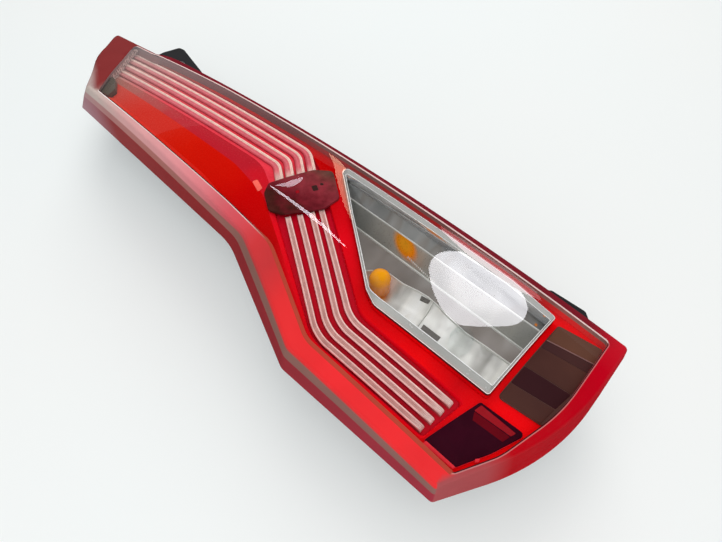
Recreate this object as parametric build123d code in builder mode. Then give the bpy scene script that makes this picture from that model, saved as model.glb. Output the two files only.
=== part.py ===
from build123d import *
import math
import os

os.makedirs("parts", exist_ok=True)

# ---------------------------------------------------------------------------
# Driving dimensions, millimetres.
# +Z comes out of the lens, +Y runs up the lamp as it sits on the car and +X
# points to the tailgate side.  The origin is midway between the two fixing
# holes, on the face of the tabs that meets the body.
# ---------------------------------------------------------------------------
rim_z = 6.0  # lower edge of the lens
loft_h = 60.0  # height between the two outlines that set the draft of the lens walls
wall_h = 76.0  # height that the drafted walls are carried to, above the face
lens_t = 3.0  # lens wall
foot_w = 7.0  # width of the lens foot
foot_t = 3.0  # thickness of the lens foot
shoulder_r = 12.0  # rounding between lens wall and lens face
shoulder_in_r = 9.0  # the same inside

# Lens face: a barrel surface, crowned across and along the lamp
crown_x, crown_y, crown_z = -103.0, -22.0, 76.0
crown_rx, crown_ry = 260.0, 1900.0

# Outline corners (x, y, corner radius) at the rim and at the top of the draft
rim = [
    (-19.0, -327.5, 14.0),
    (-20.0, 354.0, 22.0),
    (-66.0, 334.0, 70.0),
    (-124.5, 284.0, 14.0),
    (-145.0, 16.5, 100.0),
    (-206.0, -110.0, 35.0),
    (-211.2, -271.5, 13.0),
    (-125.0, -327.5, 200.0),
]
crest = [
    (-23.5, -321.5, 14.0),
    (-27.0, 312.0, 22.0),
    (-77.0, 284.0, 70.0),
    (-110.5, 252.0, 18.0),
    (-142.0, 14.0, 100.0),
    (-201.0, -113.0, 35.0),
    (-205.0, -267.5, 16.0),
    (-123.5, -321.5, 195.0),
]

# Signal window in the lens face
window = [
    (-36.5, -41.5, 4.0),
    (-45.0, -41.5, 4.0),
    (-77.0, -78.0, 60.0),
    (-128.5, -139.5, 14.0),
    (-134.5, -152.0, 10.0),
    (-134.5, -260.5, 5.0),
    (-42.5, -265.5, 5.0),
    (-35.0, -222.0, 60.0),
]

# Depth of the inner pieces below the lens face
cover_top, cover_low = 8.6, 10.95
bezel_top, bezel_low = 11.0, 13.0
guide_top, guide_low = 11.4, 17.0
tray_top, tray_low = 17.05, 19.0

# Light guides: centre lines and bend radii
upper_w, lower_w = 8.3, 6.2
end_r = 1.8
upper_paths = [
    ([(-39.7, 305.0), (-40.5, 14.0), (-61.5, -16.4)], 85.0),
    ([(-51.6, 297.0), (-52.0, 16.0), (-71.7, -12.2)], 78.0),
    ([(-63.5, 288.0), (-63.8, 18.0), (-80.5, -6.8)], 66.0),
    ([(-75.4, 279.0), (-75.5, 20.0), (-89.0, -1.2)], 54.0),
]
lower_paths = [
    ([(-112.3, -35.2), (-178.2, -128.6), (-181.1, -237.0)], 42.0),
    ([(-104.0, -41.7), (-169.5, -133.0), (-172.4, -239.7)], 40.0),
    ([(-94.8, -47.4), (-160.8, -137.3), (-163.2, -241.8)], 38.0),
    ([(-86.8, -51.4), (-152.0, -141.5), (-154.5, -243.6)], 36.0),
]
channel = [
    (-34.6, 296.0, 6.0),
    (-82.5, 264.5, 4.0),
    (-82.5, 27.0, 50.0),
    (-97.5, 1.0, 40.0),
    (-121.0, -31.5, 40.0),
    (-185.6, -126.0, 40.0),
    (-188.2, -240.0, 3.0),
    (-148.6, -249.0, 3.0),
    (-145.2, -145.5, 30.0),
    (-79.0, -54.0, 40.0),
    (-53.5, -19.5, 60.0),
    (-34.6, 14.0, 60.0),
]
bridge = [
    (-46.0, -30.0, 5.0),
    (-58.0, -17.0, 6.0),
    (-99.0, 1.0, 4.0),
    (-109.5, -4.0, 6.0),
    (-121.0, -20.5, 6.0),
    (-116.5, -33.0, 6.0),
    (-88.0, -57.0, 8.0),
    (-69.0, -58.5, 6.0),
]
led_board_shape = [
    (-60.5, -22.0, 1.5),
    (-92.0, -1.0, 1.5),
    (-113.5, -32.2, 1.5),
    (-85.1, -51.2, 1.5),
]
upper_led_gap = [6.0, 3.9, 3.5, 3.4]  # from the end of a guide to the light source
lower_led_gap = [3.8, 4.5, 4.1, 3.1]

# Lower panels on the bezel
reflex_shape = [
    (-140.2, -259.0, 2.5),
    (-188.8, -242.0, 2.5),
    (-188.0, -271.5, 3.0),
    (-164.0, -286.5, 60.0),
    (-137.8, -298.6, 3.0),
]
corner_shape = [
    (-33.6, -310.5, 4.0),
    (-42.5, -271.0, 3.0),
    (-128.8, -266.5, 3.0),
    (-124.6, -303.6, 3.0),
    (-92.0, -311.5, 80.0),
]

# Housing
flange_t = 4.5
flange_gap = 4.2
tub_in, tub_taper_in = 12.0, 6.0
back_z = -44.0
wall_t = 2.8
rest_z = -62.0
upper_tab = [
    (-34.0, 306.0, 0.5),
    (-34.0, 204.0, 0.5),
    (-6.0, 214.0, 12.0),
    (9.0, 234.0, 12.0),
    (23.5, 284.0, 4.0),
    (22.5, 292.0, 4.0),
    (4.0, 300.0, 12.0),
]
lower_tab = [
    (-34.0, -294.0, 0.5),
    (4.0, -288.0, 8.0),
    (10.5, -281.0, 5.0),
    (10.5, -246.0, 5.0),
    (4.0, -239.0, 8.0),
    (-34.0, -233.0, 0.5),
]
tab_hole_y = 265.0
bush_r, bolt_r = 5.0, 3.3

# Bulbs and their holders
turn_xy = (-95.0, -127.0)
reverse_xy = (-96.0, -215.0)
brake_xy = (-100.0, 70.0)
glass_r = 9.9
socket_hole_r = 14.5
floor_z, floor_t = 8.0, 2.0  # floor of the signal reflector
brake_floor_z = 14.0
holder_top, brake_holder_top = 7.4, 12.9
brake_shape = [
    (-87.0, 226.0, 4.0),
    (-109.5, 222.0, 6.0),
    (-132.5, 17.0, 20.0),
    (-116.0, 4.0, 6.0),
    (-87.0, 30.0, 8.0),
]

# Back fittings
stud_xy = [(-92.0, 230.0), (-176.0, -180.0)]
foot_xy = [(-60.0, -232.0), (-60.0, 110.0)]
stud_r = 4.0
vent_xy = (-72.0, 200.0)
led_plug_xy = (-92.0, -26.0)
led_plug_size = (24.0, 14.0)


# ---------------------------------------------------------------------------
# Shapes used by several pieces
# ---------------------------------------------------------------------------
def inset(poly, d):
    """Corners of a counter-clockwise outline moved inwards by d (outwards if d < 0)."""
    n = len(poly)
    out = []
    for i in range(n):
        x0, y0, _ = poly[i - 1]
        x1, y1, r = poly[i]
        x2, y2, _ = poly[(i + 1) % n]
        ax, ay = x1 - x0, y1 - y0
        bx, by = x2 - x1, y2 - y1
        la, lb = math.hypot(ax, ay), math.hypot(bx, by)
        ax, ay, bx, by = ax / la, ay / la, bx / lb, by / lb
        turn = ax * by - ay * bx
        px, py = x1 - ay * d, y1 + ax * d
        qx, qy = x1 - by * d, y1 + bx * d
        s = ((qx - px) * by - (qy - py) * bx) / turn
        out.append((px + ax * s, py + ay * s, max(0.4, r - d if turn > 0 else r + d)))
    return out


def between(a, b, f):
    """Outline a share f of the way from outline a to outline b."""
    return [tuple(p + (q - p) * f for p, q in zip(u, v)) for u, v in zip(a, b)]


def outline(poly, mode=Mode.ADD):
    """Closed outline with rounded corners, as a face of the active sketch."""
    with BuildLine() as edge:
        FilletPolyline(
            [(x, y) for x, y, _ in poly], radius=[r for _, _, r in poly], close=True
        )
    make_face(edge.edges(), mode=mode)


def bar(path, width, bend):
    """Plan of a light guide: a bent bar."""
    with BuildLine() as centre:
        FilletPolyline(path, radius=bend)
    trace(centre.edges(), line_width=width)


def end_corners(corners, ends, width):
    """Corners of a bar's plan that belong to the given ends."""
    return [
        v
        for v in corners
        if min(math.hypot(v.X - x, v.Y - y) for x, y in ends) < width * 0.55
    ]


sweep_deg = 30.0
tilt = math.radians(sweep_deg / 2)
barrel_axis = Axis((0, crown_y, crown_z - crown_ry), (-1, 0, 0))
barrel_plane = Plane(
    origin=(0, crown_y, crown_z - crown_ry),
    x_dir=(1, 0, 0),
    z_dir=(0, -math.cos(tilt), -math.sin(tilt)),
)


def layer_profile(top, low):
    """Section of the space between two depths below the lens face."""
    arc_c = crown_ry - crown_rx
    x0, x1 = -130.0, 100.0

    def at(r, dx):
        return (crown_x + dx, arc_c + math.sqrt(r * r - dx * dx))

    ro = crown_rx - top
    with BuildLine() as section:
        ThreePointArc(at(ro, x0), at(ro, 0.0), at(ro, x1))
        if low is None:
            Line(at(ro, x1), (crown_x + x1, arc_c + 100.0))
            Line((crown_x + x1, arc_c + 100.0), (crown_x + x0, arc_c + 100.0))
            Line((crown_x + x0, arc_c + 100.0), at(ro, x0))
        else:
            ri = crown_rx - low
            Line(at(ro, x1), at(ri, x1))
            ThreePointArc(at(ri, x1), at(ri, 0.0), at(ri, x0))
            Line(at(ri, x0), at(ro, x0))
    make_face(section.edges())


with BuildPart() as under_face:
    with BuildSketch(barrel_plane):
        layer_profile(0.0, None)
    revolve(axis=barrel_axis, revolution_arc=sweep_deg)

with BuildPart() as under_inner_face:
    with BuildSketch(barrel_plane):
        layer_profile(lens_t, None)
    revolve(axis=barrel_axis, revolution_arc=sweep_deg)

with BuildPart() as under_bezel:
    with BuildSketch(barrel_plane):
        layer_profile(bezel_low - 0.5, None)
    revolve(axis=barrel_axis, revolution_arc=sweep_deg)

with BuildPart() as cover_layer:
    with BuildSketch(barrel_plane):
        layer_profile(cover_top, cover_low)
    revolve(axis=barrel_axis, revolution_arc=sweep_deg)

with BuildPart() as bezel_layer:
    with BuildSketch(barrel_plane):
        layer_profile(bezel_top, bezel_low)
    revolve(axis=barrel_axis, revolution_arc=sweep_deg)

with BuildPart() as guide_layer:
    with BuildSketch(barrel_plane):
        layer_profile(guide_top, guide_low)
    revolve(axis=barrel_axis, revolution_arc=sweep_deg)

with BuildPart() as flute_layer:
    with BuildSketch(barrel_plane):
        layer_profile(guide_top - 1.0, guide_top + 1.4)
    revolve(axis=barrel_axis, revolution_arc=sweep_deg)

with BuildPart() as tray_layer:
    with BuildSketch(barrel_plane):
        layer_profile(bezel_low + 0.05, tray_low)
    revolve(axis=barrel_axis, revolution_arc=sweep_deg)

with BuildPart() as trough_layer:
    with BuildSketch(barrel_plane):
        layer_profile(bezel_low - 3.0, tray_top)
    revolve(axis=barrel_axis, revolution_arc=sweep_deg)

with BuildPart() as board_layer:
    with BuildSketch(barrel_plane):
        layer_profile(tray_top - 1.65, tray_top - 0.05)
    revolve(axis=barrel_axis, revolution_arc=sweep_deg)

with BuildPart() as led_layer:
    with BuildSketch(barrel_plane):
        layer_profile(tray_top - 3.65, tray_top - 1.65)
    revolve(axis=barrel_axis, revolution_arc=sweep_deg)

with BuildPart() as frame_layer:
    with BuildSketch(barrel_plane):
        layer_profile(6.0, 13.4)
    revolve(axis=barrel_axis, revolution_arc=sweep_deg)

with BuildPart() as reflector_limit:
    with BuildSketch(barrel_plane):
        layer_profile(13.5, None)
    revolve(axis=barrel_axis, revolution_arc=sweep_deg)

# ---------------------------------------------------------------------------
# Outer lens: one two-shot moulding, red body and clear signal window
# ---------------------------------------------------------------------------
foot_f = foot_t / loft_h
wall_end = between(rim, crest, wall_h / loft_h)
with BuildPart() as lens_cavity:
    with BuildSketch(Plane.XY.offset(rim_z + foot_t)):
        outline(inset(between(rim, crest, foot_f), lens_t))
    with BuildSketch(Plane.XY.offset(rim_z + wall_h)):
        outline(inset(wall_end, lens_t))
    loft(ruled=True)
    add(under_inner_face.part, mode=Mode.INTERSECT)
    fillet(
        lens_cavity.faces().filter_by(GeomType.TORUS).sort_by(SortBy.AREA)[-1].edges(),
        shoulder_in_r,
    )
    with BuildSketch(Plane.XY.offset(rim_z - 1.0)):
        outline(inset(rim, foot_w))
    extrude(amount=foot_t + 1.0)

with BuildPart() as lens_shell:
    with BuildSketch(Plane.XY.offset(rim_z)):
        outline(rim)
    with BuildSketch(Plane.XY.offset(rim_z + wall_h)):
        outline(wall_end)
    loft(ruled=True)
    add(under_face.part, mode=Mode.INTERSECT)
    fillet(
        lens_shell.faces().filter_by(GeomType.TORUS).sort_by(SortBy.AREA)[-1].edges(),
        shoulder_r,
    )
    add(lens_cavity.part, mode=Mode.SUBTRACT)

with BuildPart() as window_column:
    with BuildSketch(Plane.XY.offset(30.0)):
        outline(window)
    extrude(amount=60.0)

with BuildPart() as outer_lens_red:
    add(lens_shell.part)
    add(window_column.part, mode=Mode.SUBTRACT)
outer_lens_red.part.label = "outer_lens_red"
export_step(outer_lens_red.part, "parts/outer_lens_red.step")

with BuildPart() as outer_lens_clear:
    add(lens_shell.part)
    add(window_column.part, mode=Mode.INTERSECT)
outer_lens_clear.part.label = "outer_lens_clear"
export_step(outer_lens_clear.part, "parts/outer_lens_clear.step")

# ---------------------------------------------------------------------------
# Sealing bead under the lens foot
# ---------------------------------------------------------------------------
with BuildPart() as lens_seal:
    with BuildSketch(Plane.XY.offset(flange_t)):
        outline(inset(rim, flange_gap + 0.6))
        outline(inset(rim, foot_w - 0.4), mode=Mode.SUBTRACT)
    extrude(amount=rim_z - flange_t)
lens_seal.part.label = "lens_seal"
export_step(lens_seal.part, "parts/lens_seal.step")

# ---------------------------------------------------------------------------
# Housing: flange, tub, fixing tabs, stud bosses and rest feet
# ---------------------------------------------------------------------------
with BuildPart() as tub_space:
    with BuildSketch(Plane.XY.offset(flange_t + 0.5)):
        outline(inset(rim, tub_in + wall_t))
    with BuildSketch(Plane.XY.offset(back_z + wall_t)):
        outline(inset(rim, tub_in + tub_taper_in + wall_t))
    loft(ruled=True)

with BuildPart() as housing:
    with BuildSketch(Plane.XY):
        outline(inset(rim, flange_gap))
        outline(upper_tab)
        outline(lower_tab)
    extrude(amount=flange_t)
    with BuildSketch(Plane.XY.offset(0.0)):
        outline(inset(rim, tub_in))
    with BuildSketch(Plane.XY.offset(back_z)):
        outline(inset(rim, tub_in + tub_taper_in))
    loft(ruled=True)
    # bosses for the locating studs and plain rest feet
    with BuildSketch(Plane.XY.offset(back_z + 1.0)):
        with Locations(*stud_xy):
            Circle(7.0)
    extrude(amount=-8.0)
    with BuildSketch(Plane.XY.offset(back_z + 1.0)):
        with Locations(*foot_xy):
            Circle(7.0)
    extrude(amount=rest_z - back_z - 1.0, taper=2.0)
    # ribs that tie the tabs to the tub
    with BuildSketch(Plane.XZ.offset(-240.0)):
        Polygon((-32.0, 1.0), (-4.0, 1.0), (-32.0, -22.0), align=None)
    extrude(amount=-4.0)
    with BuildSketch(Plane.XZ.offset(-284.0)):
        Polygon((-32.0, 1.0), (-4.0, 1.0), (-32.0, -22.0), align=None)
    extrude(amount=-4.0)
    with BuildSketch(Plane.XZ.offset(248.0)):
        Polygon((-32.0, 1.0), (-4.0, 1.0), (-32.0, -22.0), align=None)
    extrude(amount=4.0)
    with BuildSketch(Plane.XZ.offset(276.0)):
        Polygon((-32.0, 1.0), (-4.0, 1.0), (-32.0, -22.0), align=None)
    extrude(amount=4.0)
    add(tub_space.part, mode=Mode.SUBTRACT)
    # fixing holes
    with BuildSketch(Plane.XY.offset(-1.0)):
        with Locations((0.0, tab_hole_y), (0.0, -tab_hole_y)):
            Circle(bush_r)
    extrude(amount=flange_t + 2.0, mode=Mode.SUBTRACT)
    # openings in the back for the bulb holders, connector, studs and vent
    with BuildSketch(Plane.XY.offset(back_z - 1.0)):
        with Locations(turn_xy, reverse_xy, brake_xy):
            Circle(socket_hole_r)
        with Locations(led_plug_xy):
            RectangleRounded(led_plug_size[0], led_plug_size[1], 2.0)
        with Locations(vent_xy):
            Circle(3.0)
    extrude(amount=wall_t + 3.0, mode=Mode.SUBTRACT)
    with BuildSketch(Plane.XY.offset(back_z - 7.5)):
        with Locations(*stud_xy):
            Circle(2.5)
    extrude(amount=14.0, mode=Mode.SUBTRACT)
housing.part.label = "housing"
export_step(housing.part, "parts/housing.step")

with BuildPart() as tab_bushings:
    with BuildSketch(Plane.XY):
        with Locations((0.0, tab_hole_y), (0.0, -tab_hole_y)):
            Circle(bush_r)
            Circle(bolt_r, mode=Mode.SUBTRACT)
    extrude(amount=flange_t)
    with BuildSketch(Plane.XY.offset(flange_t)):
        with Locations((0.0, tab_hole_y), (0.0, -tab_hole_y)):
            Circle(bush_r + 2.0)
            Circle(bolt_r, mode=Mode.SUBTRACT)
    extrude(amount=1.0)
tab_bushings.part.label = "tab_bushings"
export_step(tab_bushings.part, "parts/tab_bushings.step")

with BuildPart() as locator_studs:
    with BuildSketch(Plane.XY.offset(back_z - 7.0)):
        with Locations(*stud_xy):
            Circle(6.0)
    extrude(amount=-2.0)
    with BuildSketch(Plane.XY.offset(back_z - 9.0)):
        with Locations(*stud_xy):
            Circle(stud_r)
    extrude(amount=rest_z - back_z + 9.0)
    with BuildSketch(Plane.XY.offset(back_z - 7.0)):
        with Locations(*stud_xy):
            Circle(2.5)
    extrude(amount=9.0)
    chamfer(
        locator_studs.faces().filter_by(Plane.XY).group_by(Axis.Z)[0].edges(), 0.8
    )
locator_studs.part.label = "locator_studs"
export_step(locator_studs.part, "parts/locator_studs.step")

with BuildPart() as vent_cap:
    with BuildSketch(Plane.XY.offset(back_z)):
        with Locations(vent_xy):
            Circle(8.0)
    extrude(amount=-5.0)
    fillet(vent_cap.edges().group_by(Axis.Z)[0], 1.2)
    with BuildSketch(Plane.XY.offset(back_z)):
        with Locations(vent_xy):
            Circle(2.9)
    extrude(amount=8.0)
vent_cap.part.label = "vent_cap"
export_step(vent_cap.part, "parts/vent_cap.step")

with BuildPart() as body_gasket:
    with BuildSketch(Plane.XY.offset(back_z)):
        outline(inset(rim, tub_in + tub_taper_in + 1.0))
        outline(inset(rim, tub_in + tub_taper_in + 5.0), mode=Mode.SUBTRACT)
    extrude(amount=-6.0)
body_gasket.part.label = "body_gasket"
export_step(body_gasket.part, "parts/body_gasket.step")

# ---------------------------------------------------------------------------
# Inner bezel: red panel under the lens, with a skirt that stands on the flange
# ---------------------------------------------------------------------------
inner_line = inset(between(rim, crest, 40.0 / loft_h), 6.0)
with BuildPart() as bezel_skirt:
    with BuildSketch(Plane.XY.offset(flange_t)):
        outline(inner_line)
        outline(inset(inner_line, 1.5), mode=Mode.SUBTRACT)
    extrude(amount=70.0)
    add(under_bezel.part, mode=Mode.INTERSECT)

with BuildPart() as inner_bezel:
    with BuildSketch(Plane.XY):
        outline(inner_line)
    extrude(amount=90.0)
    add(bezel_layer.part, mode=Mode.INTERSECT)
    add(bezel_skirt.part)
    with BuildSketch(Plane.XY.offset(15.0)):
        outline(channel)
        outline(inset(window, -2.4))
    extrude(amount=80.0, mode=Mode.SUBTRACT)
inner_bezel.part.label = "inner_bezel"
export_step(inner_bezel.part, "parts/inner_bezel.step")

# ---------------------------------------------------------------------------
# Light guides, their trough and the electronics between them
# ---------------------------------------------------------------------------
for number, (path, bend) in enumerate(upper_paths, 1):
    with BuildPart() as groove:
        with BuildSketch(Plane.XY):
            bar(path, upper_w - 5.0, bend)
        extrude(amount=90.0)
        add(flute_layer.part, mode=Mode.INTERSECT)
    with BuildPart() as upper_light_guide:
        with BuildSketch(Plane.XY) as plan:
            bar(path, upper_w, bend)
            fillet(end_corners(plan.vertices(), path[-1:], upper_w), end_r)
        extrude(amount=90.0)
        add(guide_layer.part, mode=Mode.INTERSECT)
        with BuildSketch(Plane.XY):
            outline(inset(channel, 0.8))
        extrude(amount=90.0, mode=Mode.INTERSECT)
        add(groove.part, mode=Mode.SUBTRACT)
    upper_light_guide.part.label = f"upper_light_guide_{number}"
    export_step(upper_light_guide.part, f"parts/upper_light_guide_{number}.step")

for number, (path, bend) in enumerate(lower_paths, 1):
    with BuildPart() as groove:
        with BuildSketch(Plane.XY):
            bar(path, lower_w - 4.0, bend)
        extrude(amount=90.0)
        add(flute_layer.part, mode=Mode.INTERSECT)
    with BuildPart() as lower_light_guide:
        with BuildSketch(Plane.XY) as plan:
            bar(path, lower_w, bend)
            fillet(end_corners(plan.vertices(), (path[0], path[-1]), lower_w), end_r)
        extrude(amount=90.0)
        add(guide_layer.part, mode=Mode.INTERSECT)
        add(groove.part, mode=Mode.SUBTRACT)
    lower_light_guide.part.label = f"lower_light_guide_{number}"
    export_step(lower_light_guide.part, f"parts/lower_light_guide_{number}.step")

screw_xy = [(-76.0, -25.0), (-97.0, -26.0)]
lead_xy = [(-86.0, -30.0), (-91.0, -22.0)]
with BuildPart() as trough:
    with BuildSketch(Plane.XY):
        outline(inset(channel, -0.4))
    extrude(amount=90.0)
    add(trough_layer.part, mode=Mode.INTERSECT)

with BuildPart() as guide_tray:
    with BuildSketch(Plane.XY):
        outline(inset(channel, -2.0))
        with Locations(*screw_xy):
            Circle(1.25, mode=Mode.SUBTRACT)
        with Locations(*lead_xy):
            Circle(1.6, mode=Mode.SUBTRACT)
    extrude(amount=90.0)
    add(tray_layer.part, mode=Mode.INTERSECT)
    add(trough.part, mode=Mode.SUBTRACT)
guide_tray.part.label = "guide_tray"
export_step(guide_tray.part, "parts/guide_tray.step")

board_z = 60.6  # plane of the screw seats on the board
with BuildPart() as led_board:
    with BuildSketch(Plane.XY):
        outline(led_board_shape)
    extrude(amount=90.0)
    add(board_layer.part, mode=Mode.INTERSECT)
    with BuildSketch(Plane.XY.offset(20.0)):
        with Locations(*screw_xy):
            Circle(1.25)
    extrude(amount=60.0, mode=Mode.SUBTRACT)
    with BuildSketch(Plane.XY.offset(board_z - 0.9)):
        with Locations(*screw_xy):
            Circle(2.7)
    extrude(amount=8.0, mode=Mode.SUBTRACT)
led_board.part.label = "led_board"
export_step(led_board.part, "parts/led_board.step")

with BuildPart() as led_board_screws:
    with BuildSketch(Plane.XY.offset(board_z - 0.9)):
        with Locations(*screw_xy):
            Circle(2.5)
    extrude(amount=1.6)
    with BuildSketch(Plane.XY.offset(board_z - 0.9)):
        with Locations(*screw_xy):
            Circle(1.2)
    extrude(amount=-8.0)
    with BuildSketch(Plane.XY.offset(board_z + 0.7)):
        with Locations(*screw_xy):
            Rectangle(2.6, 0.6)
            Rectangle(0.6, 2.6)
    extrude(amount=-0.7, mode=Mode.SUBTRACT)
led_board_screws.part.label = "led_board_screws"
export_step(led_board_screws.part, "parts/led_board_screws.step")

led_xy = []
for (path, _), gap in zip(upper_paths, upper_led_gap):
    (ax, ay), (bx, by) = path[1], path[2]
    run = math.hypot(bx - ax, by - ay)
    led_xy.append((bx + (bx - ax) / run * gap, by + (by - ay) / run * gap))
for (path, _), gap in zip(lower_paths, lower_led_gap):
    (ax, ay), (bx, by) = path[1], path[0]
    run = math.hypot(bx - ax, by - ay)
    led_xy.append((bx + (bx - ax) / run * gap, by + (by - ay) / run * gap))
with BuildPart() as guide_leds:
    with BuildSketch(Plane.XY):
        with Locations(*led_xy):
            Rectangle(3.0, 3.0, rotation=-34.5)
    extrude(amount=90.0)
    add(led_layer.part, mode=Mode.INTERSECT)
guide_leds.part.label = "guide_leds"
export_step(guide_leds.part, "parts/guide_leds.step")

with BuildPart() as bridge_cover:
    with BuildSketch(Plane.XY):
        outline(bridge)
    extrude(amount=90.0)
    add(cover_layer.part, mode=Mode.INTERSECT)
bridge_cover.part.label = "bridge_cover"
export_step(bridge_cover.part, "parts/bridge_cover.step")

plug_top = back_z + wall_t + 4.0
with BuildPart() as led_leads:
    with BuildSketch(Plane.XY.offset(plug_top)):
        with Locations(*lead_xy):
            Circle(0.9)
    extrude(amount=120.0)
    with BuildSketch(barrel_plane):
        layer_profile(-60.0, tray_top - 0.05)
    revolve(axis=barrel_axis, revolution_arc=sweep_deg, mode=Mode.SUBTRACT)
led_leads.part.label = "led_leads"
export_step(led_leads.part, "parts/led_leads.step")


def connector_shroud(x, y, top, size, hollow, depth):
    """Plug inlet that opens downwards, with two blades in it."""
    with BuildSketch(Plane.XY.offset(top)) as plan_1:
        with Locations((x, y)):
            RectangleRounded(size[0], size[1], 2.0)
    extrude(plan_1.sketch, amount=-(top - (rest_z + 3.0)))
    with BuildSketch(Plane.XY.offset(rest_z + 3.0)) as plan_2:
        with Locations((x, y)):
            RectangleRounded(hollow[0], hollow[1], 1.2)
    extrude(plan_2.sketch, amount=depth, mode=Mode.SUBTRACT)
    with BuildSketch(Plane.XY.offset(rest_z + 3.0 + depth)) as plan_3:
        with Locations((x - 3.2, y), (x + 3.2, y)):
            Rectangle(0.8, 2.8)
    extrude(plan_3.sketch, amount=-(depth - 6.5))


with BuildPart() as led_connector:
    with BuildSketch(Plane.XY.offset(back_z)):
        with Locations(led_plug_xy):
            RectangleRounded(led_plug_size[0] + 6.0, led_plug_size[1] + 6.0, 3.0)
    extrude(amount=-2.5)
    with BuildSketch(Plane.XY.offset(back_z)):
        with Locations(led_plug_xy):
            RectangleRounded(led_plug_size[0] - 0.3, led_plug_size[1] - 0.3, 1.9)
    extrude(amount=plug_top - back_z)
    connector_shroud(
        led_plug_xy[0], led_plug_xy[1], back_z - 2.0, (20.0, 13.0), (16.0, 9.0), 10.0
    )
led_connector.part.label = "led_connector"
export_step(led_connector.part, "parts/led_connector.step")

# ---------------------------------------------------------------------------
# Signal window: bright frame, stepped reflector
# ---------------------------------------------------------------------------
with BuildPart() as window_bezel:
    with BuildSketch(Plane.XY):
        outline(inset(window, -2.2))
        outline(inset(window, 1.2), mode=Mode.SUBTRACT)
    extrude(amount=90.0)
    add(frame_layer.part, mode=Mode.INTERSECT)
window_bezel.part.label = "window_bezel"
export_step(window_bezel.part, "parts/window_bezel.step")

with BuildPart() as signal_inside:
    with BuildSketch(Plane.XY.offset(floor_z)):
        outline(inset(window, 0.6))
    extrude(amount=80.0)

with BuildPart() as signal_step:
    # riser and tread along the tailgate side, and the wall between the bowls
    with BuildSketch(Plane.XZ.offset(30.0)):
        Polygon(
            (-79.0, floor_z),
            (-60.0, 39.0),
            (-30.0, 43.0),
            (-30.0, 41.0),
            (-58.7, 37.1),
            (-76.6, floor_z),
            align=None,
        )
    extrude(amount=245.0)
    with BuildSketch(Plane.XZ.offset(171.0)):
        Polygon(
            (-140.0, floor_z),
            (-140.0, 36.0),
            (-118.0, 20.0),
            (-90.0, 20.0),
            (-76.0, 36.0),
            (-76.0, floor_z),
            align=None,
        )
    extrude(amount=2.0)
    add(signal_inside.part, mode=Mode.INTERSECT)
    add(reflector_limit.part, mode=Mode.INTERSECT)

with BuildPart() as signal_reflector:
    with BuildSketch(Plane.XY.offset(floor_z)):
        outline(inset(window, -1.4))
    extrude(amount=floor_t)
    with BuildSketch(Plane.XY.offset(floor_z)):
        outline(inset(window, -1.4))
        outline(inset(window, 0.6), mode=Mode.SUBTRACT)
    extrude(amount=80.0)
    add(reflector_limit.part, mode=Mode.INTERSECT)
    add(signal_step.part)
    with BuildSketch(Plane.XY.offset(floor_z - 1.0)):
        with Locations(turn_xy, reverse_xy):
            Circle(12.0)
    extrude(amount=floor_t + 2.0, mode=Mode.SUBTRACT)
signal_reflector.part.label = "signal_reflector"
export_step(signal_reflector.part, "parts/signal_reflector.step")

# ---------------------------------------------------------------------------
# Lower panels bonded to the bezel
# ---------------------------------------------------------------------------
with BuildPart() as reflex_reflector:
    with BuildSketch(Plane.XY):
        outline(reflex_shape)
    extrude(amount=90.0)
    add(cover_layer.part, mode=Mode.INTERSECT)
reflex_reflector.part.label = "reflex_reflector"
export_step(reflex_reflector.part, "parts/reflex_reflector.step")

with BuildPart() as corner_cover:
    with BuildSketch(Plane.XY):
        outline(corner_shape)
    extrude(amount=90.0)
    add(cover_layer.part, mode=Mode.INTERSECT)
corner_cover.part.label = "corner_cover"
export_step(corner_cover.part, "parts/corner_cover.step")

# ---------------------------------------------------------------------------
# Brake reflector behind the red panel
# ---------------------------------------------------------------------------
with BuildPart() as brake_reflector:
    with BuildSketch(Plane.XY.offset(brake_floor_z)):
        outline(brake_shape)
    extrude(amount=2.0)
    with BuildSketch(Plane.XY.offset(brake_floor_z)):
        outline(brake_shape)
        outline(inset(brake_shape, 1.8), mode=Mode.SUBTRACT)
    extrude(amount=80.0)
    add(reflector_limit.part, mode=Mode.INTERSECT)
    with BuildSketch(Plane.XY.offset(brake_floor_z - 1.0)):
        with Locations(brake_xy):
            Circle(11.0)
    extrude(amount=4.0, mode=Mode.SUBTRACT)
brake_reflector.part.label = "brake_reflector"
export_step(brake_reflector.part, "parts/brake_reflector.step")


# ---------------------------------------------------------------------------
# Bulbs, quarter-turn holders and their seals
# ---------------------------------------------------------------------------
def bulb_form(x, y, seat):
    """Capsule bulb with a flat wedge foot; seat is where the glass leaves the holder."""
    up = (Align.CENTER, Align.CENTER, Align.MIN)
    with Locations((x, y, seat)):
        Cylinder(7.0, 3.0, align=up)
    with Locations((x, y, seat + 3.0)):
        Cone(7.0, glass_r, 5.0, align=up)
    with Locations((x, y, seat + 8.0)):
        Cylinder(glass_r, 15.0, align=up)
    with Locations((x, y, seat + 23.0)):
        Sphere(glass_r)
    with BuildSketch(Plane.XY.offset(seat)) as plan_2:
        with Locations((x, y)):
            RectangleRounded(15.4, 5.4, 1.0)
    extrude(plan_2.sketch, amount=-12.0)


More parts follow.
